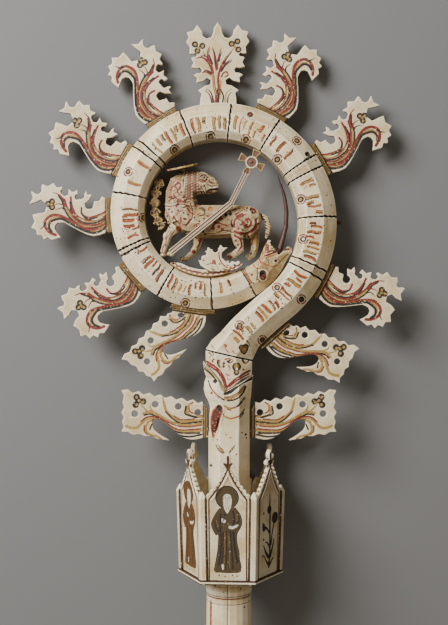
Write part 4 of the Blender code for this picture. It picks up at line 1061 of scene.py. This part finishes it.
BORDERS = """
line brown 0.8 -12.6,53.5 -12.6,80 -12.8,107.6
line brown 0.8 12.4,53.5 12.4,80 12.6,107.6
line brown 0.9 -12.8,107.6 -8.8,112.8 -4.4,119.2 -1,126.4 0,131
line brown 0.9 12.6,107.6 8.8,112.8 4.4,119.2 1,126.4 0,131
ridge bare 1.1 -11.2,107.4 -7.6,111.6 -3.4,118.2 0,125
ridge bare 1.1 11.2,107.4 7.6,111.6 3.4,118.2 0,125
line brown 1.4 0,130 0,136.4
line brown 1.3 -4,133.4 -1.6,131.2 -0.4,129
line brown 1.3 4,133.4 1.6,131.2 0.4,129
dots brown 0.42 -11.2,110.2 -9.3,113.2 -7.4,116.3 -5.4,119.5 -3.5,122.6 -2,125.4
dots brown 0.42 11.2,110.2 9.3,113.2 7.4,116.3 5.4,119.5 3.5,122.6 2,125.4
"""
FIGURE = """
dots BLACK 8.0 -0.6,109.4
dots ROBE 7.3 -0.6,109.4
line BLACK 0.84 -5.4,102 -8,98.6 -11,91.5 -8.2,84.6 -6.3,84.4 -6.8,74 -9.2,60.4
line BLACK 0.84 4.8,102.4 8.2,97.4 9,91.3 5.7,83.5 7.4,70 8.4,60
area ROBE 1 -5.4,102 -8,98.6 -11,91.5 -8.2,84.6 -6.3,84.4 -6.8,74 -9.2,60.4 -4.7,58.8 3,58.6 8.4,60 7.4,70
area ROBE 1 -5.4,102 -6,84 7.4,70 5.7,83.5 9,91.3 8.2,97.4 4.8,102.4 0,103.8
area pale 1 -3.4,107.4 -2.7,110.6 -.5,111.8 1.7,110.6 2.4,107.4 2,103.4 .7,100.6 -.5,98.6 -1.9,100.6 -3,103.4
dots BLACK 0.38 -1.7,108.4 0.7,108.4
line ROBE 0.25 -2.4,109.4 -1.6,109.7 -1,109.4
line ROBE 0.25 0,109.4 0.7,109.7 1.4,109.4
line ROBE 0.25 -0.5,108.4 -0.5,106.8 -0.1,106.6
line ROBE 0.35 -1.3,105.4 -0.5,105.2 0.3,105.4
line ROBE 0.3 -1.6,103.6 -1,101.4
line ROBE 0.3 0.6,103.6 0.1,101.4
dots pale 1.2 -3.8,94.2 -2.9,93.4
area pale 1 0.4,88.8 3,88.2 6.4,90 6.4,91.4 3.4,90.2 0.6,90.2
line BLACK 0.66 -9,93 -7.6,88 -5.4,86.6
line BLACK 0.66 6.6,99 7.4,94 6,91.6
line BLACK 0.60 -3.6,92 -2,98 -0.4,97
line BLACK 1.1 -4.6,98 -5.2,90 -4.4,80 -6,64
line BLACK 0.9 -3.2,86 -3.2,76 -4.4,62
line BLACK 0.8 -1,86.6 -0.8,74 -1.6,61
line BLACK 1.0 1.6,86.6 2.6,74 3.4,61.6
line BLACK 1.4 3.6,86 4.6,76 6.4,66
line BLACK 1.2 3.4,100 4.4,96 3.8,91
line gilt 0.3 -2.1,86 -2.2,74 -3,62
line gilt 0.3 0.4,86 0.8,74 1,62
line gilt 0.5 -8,94 -6.4,90
line gilt 0.5 5.4,98 6.2,94.6
area pale 1 -4.3,64.4 -3.2,64.4 -3,61.4 -4.1,61.2
dots ROBE 0.6 -6,57 -2,56.4 3,57 6,56.6
"""
PLANT = """
line BLACK 1.3 1,59 2,70 1.4,84 1,97
line BLACK 1.0 3.4,74 4.6,82 6.4,87
line BLACK 1.0 1.2,82 -3,86 -5.6,87.4
dots BLACK 1.8 0,98.4
tail BLACK 1.5 0,99.6 0.6,104 0,109
area BLACK 1 -8.4,91 -5.8,89.4 -4.4,85.6 -7.2,84.4 -8.8,87.4
dots ROBE 0.6 -6.6,88.2
dots BLACK 2.5 7.6,91.6
dots ROBE 1.4 7.6,91.9
tail BLACK 1.7 0,66 -3.6,70 -6.6,75
tail BLACK 1.7 2.4,66 5.4,72 6.8,77
tail ROBE 1.4 1.6,60 -2,63 -5.4,67.6
tail ROBE 1.4 2,60 5,63 7.4,64
tail ROBE 1.2 1.6,72 -1.6,76 -4,76.6
dots ROBE 0.6 -7.4,97 -6.8,79 -7.2,68
"""
# Number: drawing, robe or leaf paint, outline paint and grain of the copy
PANELS = {
    1: (FIGURE, "robe", "black", 0.40),
    2: (PLANT, "brown", "black", 0.46),
    3: (PLANT, "olive", "brown", 0.46),
    4: (FIGURE, "brown", "black", 0.46),
    5: (PLANT, "brown", "olive", 0.46),
    6: (FIGURE, "ochre", "brown", 0.46),
}
BORDER_BOLD = 1.35
PLANT_BOLD = 1.6


def panel(number):
    """A panel of the knop, with its incised picture, its border and the shaded edges of its gable."""
    node = f"knop_panel_{number}"
    rows, robe, outline, grain = PANELS[number]
    piece = Carving(node, "carved_" + node, grain)
    angle = math.tau / len(PANELS) * (number - 1) + KNOP_TURN
    out = np.array([math.sin(angle), 0.0, math.cos(angle)])
    across = np.array([math.cos(angle), 0.0, -math.sin(angle)])
    flat = np.column_stack([(piece.points - (KNOP_OFFSET, 0, 0)) @ across, piece.points[:, 1]])
    piece.grain = np.column_stack([flat[:, 1], flat[:, 0], piece.points @ out])
    face = piece.face(flat, out, 0.3)
    piece.draw(face, BORDERS, bold=BORDER_BOLD)
    bold = PLANT_BOLD if rows is PLANT else 1.0
    piece.draw(face, rows.replace("ROBE", robe).replace("BLACK", outline), bold=bold)
    piece.patina_shade_sheen += 0.25 * np.clip((np.abs(flat[:, 0]) - 11.5) / 1.5, 0, 1)
    # Painted shadow on the sides of the gable's crockets
    piece.patina_shade_sheen[(flat[:, 1] > GABLE_FOOT) & (np.abs(piece.normals @ out) < 0.6)] += 0.5
    return hang(piece, panel_bone)


def pilaster(node):
    """A corner post of the knop, with the dark lines of its joints."""
    piece = drawn(node, None)
    middle = piece.points.mean(axis=0) - (KNOP_OFFSET, 0, 0)
    angle = math.atan2(middle[0], middle[2])
    across = piece.points @ np.array([math.cos(angle), 0.0, -math.sin(angle)])
    across -= (across.max() + across.min()) / 2
    everything = np.arange(len(piece.points))
    piece.lay(everything, PILASTER_LINE - (across.max() - np.abs(across)), "brown", INCISED)
    piece.patina_shade_sheen += 0.15
    return hang(piece)


# Inside the ring, drawn in mm

LAMB = """
boss umber 1.35 -17.4,326.4
cut bare 0.5 -20.3,326.9 -18.7,328.6 -16.6,328.6 -14.7,326.8
cut bare 0.5 -20.3,325.4 -18,324.3 -15.2,325.2
ridge bare 0.8 -21.4,329.4 -18.7,330.4 -15.2,329.6
dots cream 0.85 -17.3,326.4
dots black 0.55 -17.2,326.5
line black 0.45 -20.3,326.9 -18.7,328.6 -16.6,328.6 -14.7,326.8
line red 0.4 -21.2,325 -18.7,323.4 -15.9,323.9
pit black 0.5 -8.7,325.4
ridge pale 0.7 -13.6,319.4 -10.6,319.8 -8,320.2
cut black 0.9 -15,317.3 -13,318 -10.2,318.4 -7.4,318.9
line red 0.5 -15,316.4 -12,317
cut bare 0.5 -19.4,319.9 -18,317.8 -16.8,315.6
cut bare 0.5 -21.2,319.4 -19.6,317.2 -18.6,315
cut bare 0.5 -17.2,321 -16.4,319.2 -15.6,316
cut bare 0.4 -14,323.6 -11.4,322.4 -9.4,323
cut bare 0.8 -24.6,311.6 -22,313.8 -20,314.6
cut red 0.5 -45,307.2 -40,306.4 -33,307.8 -26,306.6 -19.5,307.4
boss cream 0.5 -44,308 -42.4,307.6 -40.8,307.3 -39.2,307.2 -37.6,307.6 -36,308.2 -34.4,308.6
tail red 0.8 -40.8,317.6 -39.4,320.2 -36.6,319.4 -35.8,316.6 -38,315.2
tail red 0.9 -33.8,319.4 -35.6,316.8 -34,314.4 -31,314
tail red 0.7 -41.8,310.4 -38.2,312.4 -34.4,314
tail red 0.8 -38.4,314.2 -36,311.6 -33,311
dots red 0.6 -33,316 -31.6,312.6 -35.6,310 -30.4,310.4 -28.6,312 -40,313
tail brown 0.6 -32,309.6 -28,311.4 -24,310
tail red 0.9 -28.7,305 -26.6,302 -22.6,300.6 -20,301.6
tail gold 1.2 -23.2,301 -20.6,304.4 -17.4,303.6
line brown 0.6 -20.6,299.8 -17.6,300.4 -16.8,302.8 -18.6,304.4
tail black 0.8 -20.4,305.4 -18,305.4 -16.6,304
dots gold 1.3 -12.9,304.6
line red 0.5 -14.2,304.2 -13.6,305.8 -12,305.6
tail red 0.9 -38.2,299.4 -36.8,296.6 -34.4,294.4
tail red 0.9 -33.6,298.2 -33.2,295.6 -34.4,293.8
tail red 0.9 -27,297 -29.4,293.8 -33,293.4
area orange 1 -37.2,291.6 -34,293.4 -32.8,290.6 -35.4,288.8
dots red 0.6 -38.4,298.2 -31,297.6
dots red 0.9 -5.9,297.9
line brown 0.5 -2.6,300.4 -1.8,303 0.6,303 1.2,300.6
dots black 0.8 -2.2,300.4 1,301
tail red 1.1 -10,295.2 -6,294.4 -0.8,292.6
tail red 1.1 -9.4,295.6 -11.2,292.6 -12.4,290.6
dots red 0.8 -10.9,291.2 -4.6,290.4 -7,292.2
dots brown 0.6 -18,288.9 -16.6,287.2 -21,290.2
tail black 1.1 2.4,292.4 1.6,294.6 2.2,297
line red 0.9 3.8,292 3.8,296 6.3,298.6 9.8,299.8
line red 0.9 13.4,298 15.2,295.4 14.2,292.6 11.3,291.6
line red 1.1 18.4,297.2 19,292.6 16.3,289.6 11.3,287.4 6.3,287.8 3.8,289
ridge bare 1.0 17,296.6 17.2,293 14.8,290.2 11,289.2 7,289.8
tail red 0.8 4.6,300.8 6.6,302 9.4,303.6
tail red 1.3 15.4,305.2 18,304 18,302 16.2,301.4
dots black 0.6 15,304.2 16.2,302.4
dots red 0.8 12,297 9.8,295 10.6,293
dots brown 0.5 13,295.4 8.4,293.6 12.4,293.4
dots red 0.4 7,305 2,306 20,298.4 -4,303.6 -16,292.6 -24,302.4 9,301.4
line red 0.8 3.6,286 6.8,284.4 8.6,281.6 8.6,278.4
tail red 1.0 8.6,278.4 7,276 5.6,274.6
dots red 0.6 4.6,282.4 6.2,279.6
area red 1 -2.6,271.6 0.4,272.6 2.6,271.2 0,269.6
cut bare 0.4 -2.4,273 -3.4,270.4
cut bare 0.4 4.2,275.6 6.4,273.2
line red 0.7 -21.4,283.6 -20.6,281 -22.4,278.6
area red 1 -22,284 -19,284.4 -20.4,281
dots red 0.9 -24.8,275.4
tail red 1.0 -37.4,321.2 -35.2,322.8 -33.4,321.4 -34.4,319.8
tail oxblood 1.1 -36.4,306.4 -34,310 -31,309 -27.4,309.8
tail oxblood 0.9 -30.6,313.6 -28.4,311.6 -24.8,312.4
tail brown 0.8 -41.6,313 -39,311.4 -37.2,312.6
tail brown 0.8 -31.6,305.4 -28.6,306.4 -26.4,304.6
tail brown 0.7 -13.8,324.8 -12.6,323.4 -10.6,323.6
cut brown 0.5 -45.2,302 -44,296.4 -41.2,291.6
cut brown 0.5 -8,288.4 -2,289.6 2.4,288.2
cut brown 0.6 9.6,287.2 14.6,289.2 18.2,293 19.4,298
tail oxblood 0.9 5.4,299.4 8.6,300.8 12.2,300.4
dots brown 0.45 -21.6,320.6 -20.2,318.6 -19,316.8 -9.6,326.4 -12.2,328 -15.4,331 -19,331.6
tail black 0.7 -15.4,284.2 -18.4,280 -20.6,276.4
cut bare 0.4 -33.4,271.8 -34.2,268.6
cut bare 0.4 -31.4,271.6 -31.8,268.4
cut bare 0.4 -29.2,271.6 -29.4,268.4
dots red 0.5 -34.6,269.8 -32.6,269.2 -30.4,269
line red 0.7 17,284.4 16,281 14.6,278.6
tail gold 1.0 18,285.4 17,281.4 16.4,277.4
dots brown 0.6 13.6,276.2 15.4,274
cut bare 0.6 -40.4,291.6 -43.6,285.4 -44.8,279.4
line red 0.5 -40,289.4 -43,284.4 -44.2,279
tail red 0.8 -45.6,278.6 -46.4,275 -45,272.6
cut bare 0.4 -47,272.4 -45.4,271.4
cut bare 0.9 3,288.6 5.2,285.4 10,283.4
cut bare 0.7 12.6,287 14.2,284.6 15.6,284
cut bare 0.8 -33,288 -29,288.8 -25,287.4
cut black 0.7 22.6,301.6 23.4,296 23,290.6
cut bare 0.6 -30,331.6 -31.4,326 -31.6,320
cut bare 0.7 -14.6,321.6 -12,320.6 -9.6,321.2
ridge bare 1.0 -20.6,322.4 -18.2,321.6 -16.6,322.4
ridge bare 1.2 -12.6,326.6 -10.4,325.8 -9.2,324
cut bare 0.6 -26.6,308.4 -25,303 -26,297 -30,292.6
cut bare 0.5 -24.4,289.4 -20,288 -12,287.6 -4,288 1,289.4
ridge bare 1.4 -37.6,292.4 -36.4,288.8 -38.4,286
boss bare 1.5 -42.6,281.4
boss bare 1.3 -24.6,276.6 7.8,277.4 17.4,278.2
dots brown 0.5 -43,300 -41.8,304.4 -39.6,302.4 -35.2,303.4 -31.4,301.8
dots brown 0.5 -30,297.4 -24,298.6 -20.6,295.8 -17.4,297.8
dots red 0.5 -42.4,296 -28.4,300.6 -22.4,292.4 -14.6,299.6 -8.4,301.6
dots red 0.5 4.6,304.6 12.6,305.4 20.6,294.4 21,290.2 6.6,290.6
tail red 0.8 -24.2,292.6 -21.6,294.2 -18.8,293.2
tail brown 0.7 -16,295.8 -13.2,297.6 -10.4,296.8
tail brown 0.6 8.4,290.6 10.6,289.4 13.4,290.2
tail orange 0.8 -7.4,304.4 -9,301.8 -12,300.8
tail pink 1.0 -44,302.4 -41.4,299.4 -41.6,296
tail pink 1.0 -36.6,300.4 -34,302.8 -30.8,303.6
tail pink 0.9 -38.8,323.4 -36.2,325.4 -33.6,324.6
tail pink 0.9 -41.6,314.8 -39.6,316.8 -37,317.6
"""
TAIL_RED = "dots red 0.8 25.6,296 26.2,291.4 26.4,287.4"
LAMB_BOLD = 1.55
COLLAR_PITCH = 1.9
COLLAR_LEFT = -29.4
COLLAR_RIGHT = -21.6
COLLAR_FOOT = 312.6
COLLAR_TOP = 332.0
TAIL_TWIST = 1.9
CURLS = 150
CURL_RADIUS = 1.1
CURL_DEPTH = -0.16
# Forms that the fine carving adds: the ear, the knee, the hoof and the toes behind the staff
LAMB_LUMPS = (
    ((-31.5, 331.4, 0.0), (1.3, 3.2, 1.4), 18),
    ((-43.8, 286.0, 4.2), (2.2, 3.0, 2.2), -10),
    ((-45.0, 277.6, 4.0), (2.1, 4.2, 2.0), -4),
    ((-45.9, 272.8, 3.8), (2.3, 1.5, 2.0), 10),
    ((-38.3, 275.2, 3.4), (1.8, 4.2, 1.8), -36),
    ((-41.8, 273.8, 2.8), (4.2, 1.6, 1.6), 6),
)


def lamb():
    """The lamb, with its collar of beads, its twisted tail and small curls cut all over it."""
    piece = Carving("lamb", "carved_lamb", 0.36, soften=9, lumps=LAMB_LUMPS)
    front, back = both_faces(piece, piece.points[:, :2].copy(), 0.1)
    for face in (front, back):
        piece.draw(face, LAMB, bold=LAMB_BOLD)
        for column, x in enumerate(np.arange(COLLAR_LEFT, COLLAR_RIGHT, COLLAR_PITCH)):
            strap = [(x, COLLAR_FOOT), (x, COLLAR_TOP)]
            piece.line(face, strap, COLLAR_PITCH, "russet", relief=-0.15)
            for y in np.arange(COLLAR_FOOT + 1 + column % 2 * 0.9, COLLAR_TOP, COLLAR_PITCH):
                piece.dot(face, (x, y), 0.62, "pink" if column % 2 else "cream", RAISED)
        for y in np.arange(300.0, 285.0, -TAIL_TWIST):
            piece.line(face, [(23.4, y), (26, y - 0.6), (28.6, y - 2.4)], 0.5, "black", relief=CUT)
        piece.draw(face, TAIL_RED)
    chance = np.random.default_rng(5)
    for _ in range(CURLS):
        x, y = chance.uniform(-46, 22), chance.uniform(288, 330)
        turns = chance.uniform(0, 6) + np.arange(4)
        curl = np.column_stack([x + CURL_RADIUS * np.cos(turns), y + CURL_RADIUS * np.sin(turns)])
        for face in (front, back):
            piece.line(face, curl, 0.45, "bare", relief=CURL_DEPTH)
    # An even darker tone over the lamb, and painted shade on the sides that turn away from the front
    piece.patina_shade_sheen += 0.36 + 0.45 * (1 - np.abs(piece.normals[:, 2]))
    return hang(piece, wool_bone)


# In the serpent's drawing, the black dots at the base of the gape are painted shade in the open mouth
SERPENT = """
ridge bare 1.2 24.4,272.4 29.4,274.6 35.2,276.6 41.6,277.8
line red 1.0 24.7,271.9 29.4,273.5 35.2,275.6 41.6,276.9
line orange 0.7 24.3,281.4 23.4,277.4 23.4,273.4
line orange 0.6 24.2,270.2 28,271.4 33.6,273.4
area oxblood 1 25.2,277 26.3,280.8 28,279 27.2,274.6
line orange 0.6 25.4,274.6 25.2,278 26.4,282
pit black 0.9 32.4,268.6
cut bare 0.5 30.6,269.6 32.4,270.8 34.2,269.6
line orange 0.8 20.2,271.2 21.4,269 22.2,266.6
line orange 0.7 22.6,267.8 24.4,266.4 27.3,265.1
line orange 0.7 28.4,264.8 31,264.6 33.6,265.6
line orange 0.7 16.6,266.4 18.2,263.6 20.4,263
dots red 0.7 15.7,258.8
dots brown 0.5 14,255.6 17,253 19.4,255.4
boss bare 3.6 23.4,258.6
pit maroon 2.0 23.4,259.4 23.4,257.6
dots black 1.2 23.2,260.4
dots pink 0.8 23.6,256.4
line brown 0.6 20,261 19.6,257.4 21,253.8
cut bare 0.6 20.6,266.6 19.6,262.4 19,254.6
line orange 0.9 9.6,262.4 12,257.6 15,252.6
line black 0.5 10.6,263 13,258.2 16,253
line pale 0.7 36,274.6 41.6,275.6
dots black 1.0 33.2,275.4 34.8,274.8 31.6,275
dots black 0.5 30,277.4 29.2,279.4 28.8,281.4
line oxblood 1.0 26.6,274.2 29.6,275.4 32.6,275
line brown 0.5 25.8,270.4 27.4,268 27.6,265.6
line brown 0.5 34.6,267 38,270.6 41,273.6
"""
# In the tongue's drawing, the black line along its right side is painted shade
TONGUE = """
line black 1.2 36,274 39.2,283 41.1,292 41.4,303 40,314 37.4,322 35,328
line maroon 0.6 34.6,274 36.6,284 38.6,293 39.2,303 37.8,313 35.4,321.6 33.6,328
line brown 0.4 35.4,276 38,286 39.6,294 40.2,303 38.8,314
"""
GROUND = """
line red 0.9 -7,274.2 -6.6,270 -4.6,266.4 -1.4,263.6
line red 0.6 -15.4,265.6 -12.6,266.4 -9.4,266
dots pink 1.5 -10.4,267.7
dots red 0.7 -6.4,266.2 -17.6,268.6 -2,268.4
pit black 0.8 -19.2,264
pit black 0.7 3.8,265.4
dots black 0.6 -0.8,265.2 -10.4,262
tail brown 0.6 -10,268 -8,264 -5.4,261.4
dots gold 0.9 -11.6,262.6 -3.4,262.6 1,263.8
line red 0.5 -28,264.4 -23.6,263.4
line red 0.5 -26.6,261.8 -21,261
dots brown 0.6 -34,268 -30,266 -24,265 -14,260.6 8,263.4
pit black 0.6 -38.2,266.4
"""


# Round bites of the ground leaf: x, y and radius in mm
GROUND_BITES = (
    (-16.6, 273.3, 1.2),
    (-9.4, 276.0, 2.0),
    (-19.8, 269.4, 1.0),
    (0.6, 267.6, 0.9),
    (4.6, 268.2, 0.9),
)
# First and last station of the ground along the ring
GROUND_STATIONS = (374.0, 430.0)


def ground():
    """The strip under the lamb, with its wavy border and its leaf."""
    piece = Carving("ground_strip", "carved_ground_strip", 0.36, bites=GROUND_BITES)
    station, offset = along_crook(piece.points, *GROUND_STATIONS)
    rise = -offset - tube_half(station)
    everything = np.arange(len(piece.points))
    piece.grain = np.column_stack([station, offset, piece.points[:, 2]])
    wave = 0.35 * np.sin(station * 1.3)
    piece.lay(everything, 0.5 - np.abs(rise - 2.1 - wave), "pink", CUT)
    piece.lay(everything, 0.3 - np.abs(rise - 2.9 - wave), "black", INCISED)
    piece.lay(everything, 1.2 - rise, "gold")
    for face in both_faces(piece, piece.points[:, :2].copy(), 0.1):
        piece.draw(face, GROUND)
    return hang(piece)


CROSS_CENTRE = (15.5, 336.3)
STAFF_LINE = ((-40.5, 274.0), (1.2, 307.8), (12.2, 329.8))
STAFF_HALVES = (2.15, 1.8)
# Lines along the staff: share of its half width, paint, width and relief
STAFF_BANDS = (
    (0.95, "pale", 0.7, 0.0),
    (-0.95, "pale", 0.7, 0.0),
    (0.50, "brown", 0.75, CUT),
    (-0.50, "brown", 0.75, CUT),
    (0.0, "pale", 0.9, 0.0),
    (0.10, "pink", 0.35, INCISED),
)
# Corners of an arm's inlay: distance from the middle and half width there
ARM_CORNERS = ((4.8, -1.0), (8.2, -2.0), (8.2, 2.0), (4.8, 1.0))


def cross_staff():
    """The staff with its two grooves, and the cross with its inlaid arms."""
    piece = Carving("cross_staff", "carved_cross_staff", 0.30)
    plan = piece.points[:, :2].copy()
    piece.grain = piece.points[:, [1, 0, 2]]
    staff = np.array(STAFF_LINE)
    for face in both_faces(piece, plan):
        for start, end, half in zip(staff, staff[1:], STAFF_HALVES):
            way = (end - start) / np.hypot(*(end - start))
            side = np.array([-way[1], way[0]])
            for share, paint, width, relief in STAFF_BANDS:
                shift = side * half * share
                piece.line(face, [start + shift, end + shift], width, paint, relief=relief, smooth=False)
        for _ in range(4):
            arm = [way * reach + side * half + CROSS_CENTRE for reach, half in ARM_CORNERS]
            way, side = side, -way
            piece.area(face, arm, "umber", relief=CUT)
            piece.line(face, [*arm, arm[0]], 0.4, "brown", relief=0, smooth=False)
        piece.dot(face, CROSS_CENTRE, 4.2, "pale")
        piece.dot(face, CROSS_CENTRE, 3.3, "brown", CUT)
        piece.dot(face, CROSS_CENTRE, 2.9, "umber")
        piece.dot(face, CROSS_CENTRE, 1.0, "brown", RAISED)
    return hang(piece)


def speckled(node, paints, count, seed, size, dip=0.0):
    """A piece with small flecks and knobs at places chosen once. The dip is the slope of its front."""
    chance = np.random.default_rng(seed)
    piece = drawn(node, None, 0.34)
    piece.points[:, 1] -= dip * piece.points[:, 2]
    for index in chance.integers(0, len(piece.points), count):
        away = np.sqrt(((piece.points - piece.points[index]) ** 2).sum(axis=1))
        near = np.nonzero(away < size + 1.2)[0]
        depth = size * chance.uniform(0.4, 1.0) - away[near]
        paint = paints[chance.integers(len(paints))]
        piece.lay(near, depth, paint, chance.choice((RAISED, CUT)))
    return hang(piece)


def turned_lines(piece, lines):
    """Lines round a piece: height, half width, paint and relief."""
    everything = np.arange(len(piece.points))
    for height, width, paint, relief in lines:
        piece.lay(everything, width - np.abs(piece.points[:, 1] - height), paint, relief)


# The photograph shows the halo's rim only
HALO_DIP = 0.152
TUBE_SEED = 20
SPACER_SEED = 40

done = {}
for node in LEAVES:
    done[node] = leaf(node)
for seed, node in enumerate(TUBES):
    done[node] = tube(node, TUBE_SEED + seed)
for seed, node in enumerate(SPACERS):
    done[node] = spacer(node, SPACER_SEED + seed)
for number in PANELS:
    done[f"knop_panel_{number}"] = panel(number)
    done[f"knop_pilaster_{number}"] = pilaster(f"knop_pilaster_{number}")
elbow = drawn("elbow", ELBOW + LIPS, 0.40)
elbow_joint(elbow)
done["elbow"] = hang(elbow)
dragon = drawn("dragon_shaft", LIPS + DRAGON, 0.38)
# Painted shade on the sides that face right
dragon.patina_shade_sheen += 0.2 * np.clip(dragon.normals[:, 0], 0, 1)
done["dragon_shaft"] = hang(dragon)
socket = drawn("lower_socket", SOCKET, 0.46)
turned_lines(socket, SOCKET_RINGS)
done["lower_socket"] = hang(socket)
done["lamb"] = lamb()
serpent = drawn("serpent_head", SERPENT, 0.36, upright=False)
serpent.patina_shade_sheen += 0.45 * np.clip((serpent.points[:, 0] - 18) / 8, 0, 1)
done["serpent_head"] = hang(serpent, tan_bone)
done["ground_strip"] = ground()
done["cross_staff"] = cross_staff()
done["gilt_spray"] = speckled("gilt_spray", ("gilt", "umber", "black", "black"), 260, 3, size=1.0)
done["halo"] = speckled("halo", ("umber", "brown", "gilt"), 60, 4, size=1.2, dip=HALO_DIP)
done["serpent_tongue"] = hang(drawn("serpent_tongue", TONGUE, 0.30, upright=False))
for node in sorted(nodes):
    if node not in done:
        piece = drawn(node, None)
        if node == "knop_base":
            turned_lines(piece, KNOP_BASE_LINES)
        done[node] = hang(piece)


# Floor, lights and camera, placed in the crook's frame in metres

FLOOR_GREY = (120, 120, 120)
MIDDLE = (0.0, 0.22, 0.0)
WARM = (1.0, 0.86, 0.68)
WORLD_COLOUR = (1.0, 0.90, 0.76, 1.0)
CAMERA_PLACE = (-0.0035, 0.23275, 0.6685)


def stage():
    """A plain grey floor."""
    floor_mesh = bpy.data.meshes.new("floor")
    shape = bmesh.new()
    bmesh.ops.create_grid(shape, x_segments=1, y_segments=1, size=2.5)
    shape.to_mesh(floor_mesh)
    shape.free()
    floor = bpy.data.objects.new("floor", floor_mesh)
    bpy.context.scene.collection.objects.link(floor)
    finish = Finish("plain_floor")
    finish.shader.inputs["Base Color"].default_value = (*to_linear(FLOOR_GREY), 1.0)
    finish.shader.inputs["Roughness"].default_value = 0.9
    floor_mesh.materials.append(finish.material)


def lamp(name, place, aim, size, power, colour):
    """A soft square light that looks at its aim."""
    light = bpy.data.lights.new(name, "AREA")
    light.shape = "SQUARE"
    light.size = size
    light.energy = power
    light.color = colour
    holder = bpy.data.objects.new(name, light)
    bpy.context.scene.collection.objects.link(holder)
    spot = CROOK @ Vector(place)
    holder.location = spot
    holder.rotation_euler = (CROOK @ Vector(aim) - spot).to_track_quat("-Z", "Y").to_euler()


def camera():
    """The photograph's view, square on to the crook."""
    data = bpy.data.cameras.new("view")
    data.lens = 55.0
    data.sensor_width = 36.0
    holder = bpy.data.objects.new("view", data)
    bpy.context.scene.collection.objects.link(holder)
    holder.matrix_world = CROOK @ Matrix.Translation(CAMERA_PLACE)
    bpy.context.scene.camera = holder


stage()
lamp("key_light", (-0.80, 0.85, 0.85), MIDDLE, 0.7, 35.5, (1.0, 0.99, 0.97))
lamp("fill_light", (0.7, 0.1, 1.1), MIDDLE, 1.2, 1.7, WARM)
lamp("low_light", (-0.3, -0.7, 0.8), MIDDLE, 1.0, 1.6, WARM)
world = bpy.data.worlds.new("studio")
world.use_nodes = True
world.node_tree.nodes["Background"].inputs["Color"].default_value = WORLD_COLOUR
world.node_tree.nodes["Background"].inputs["Strength"].default_value = 0.12
bpy.context.scene.world = world
camera()
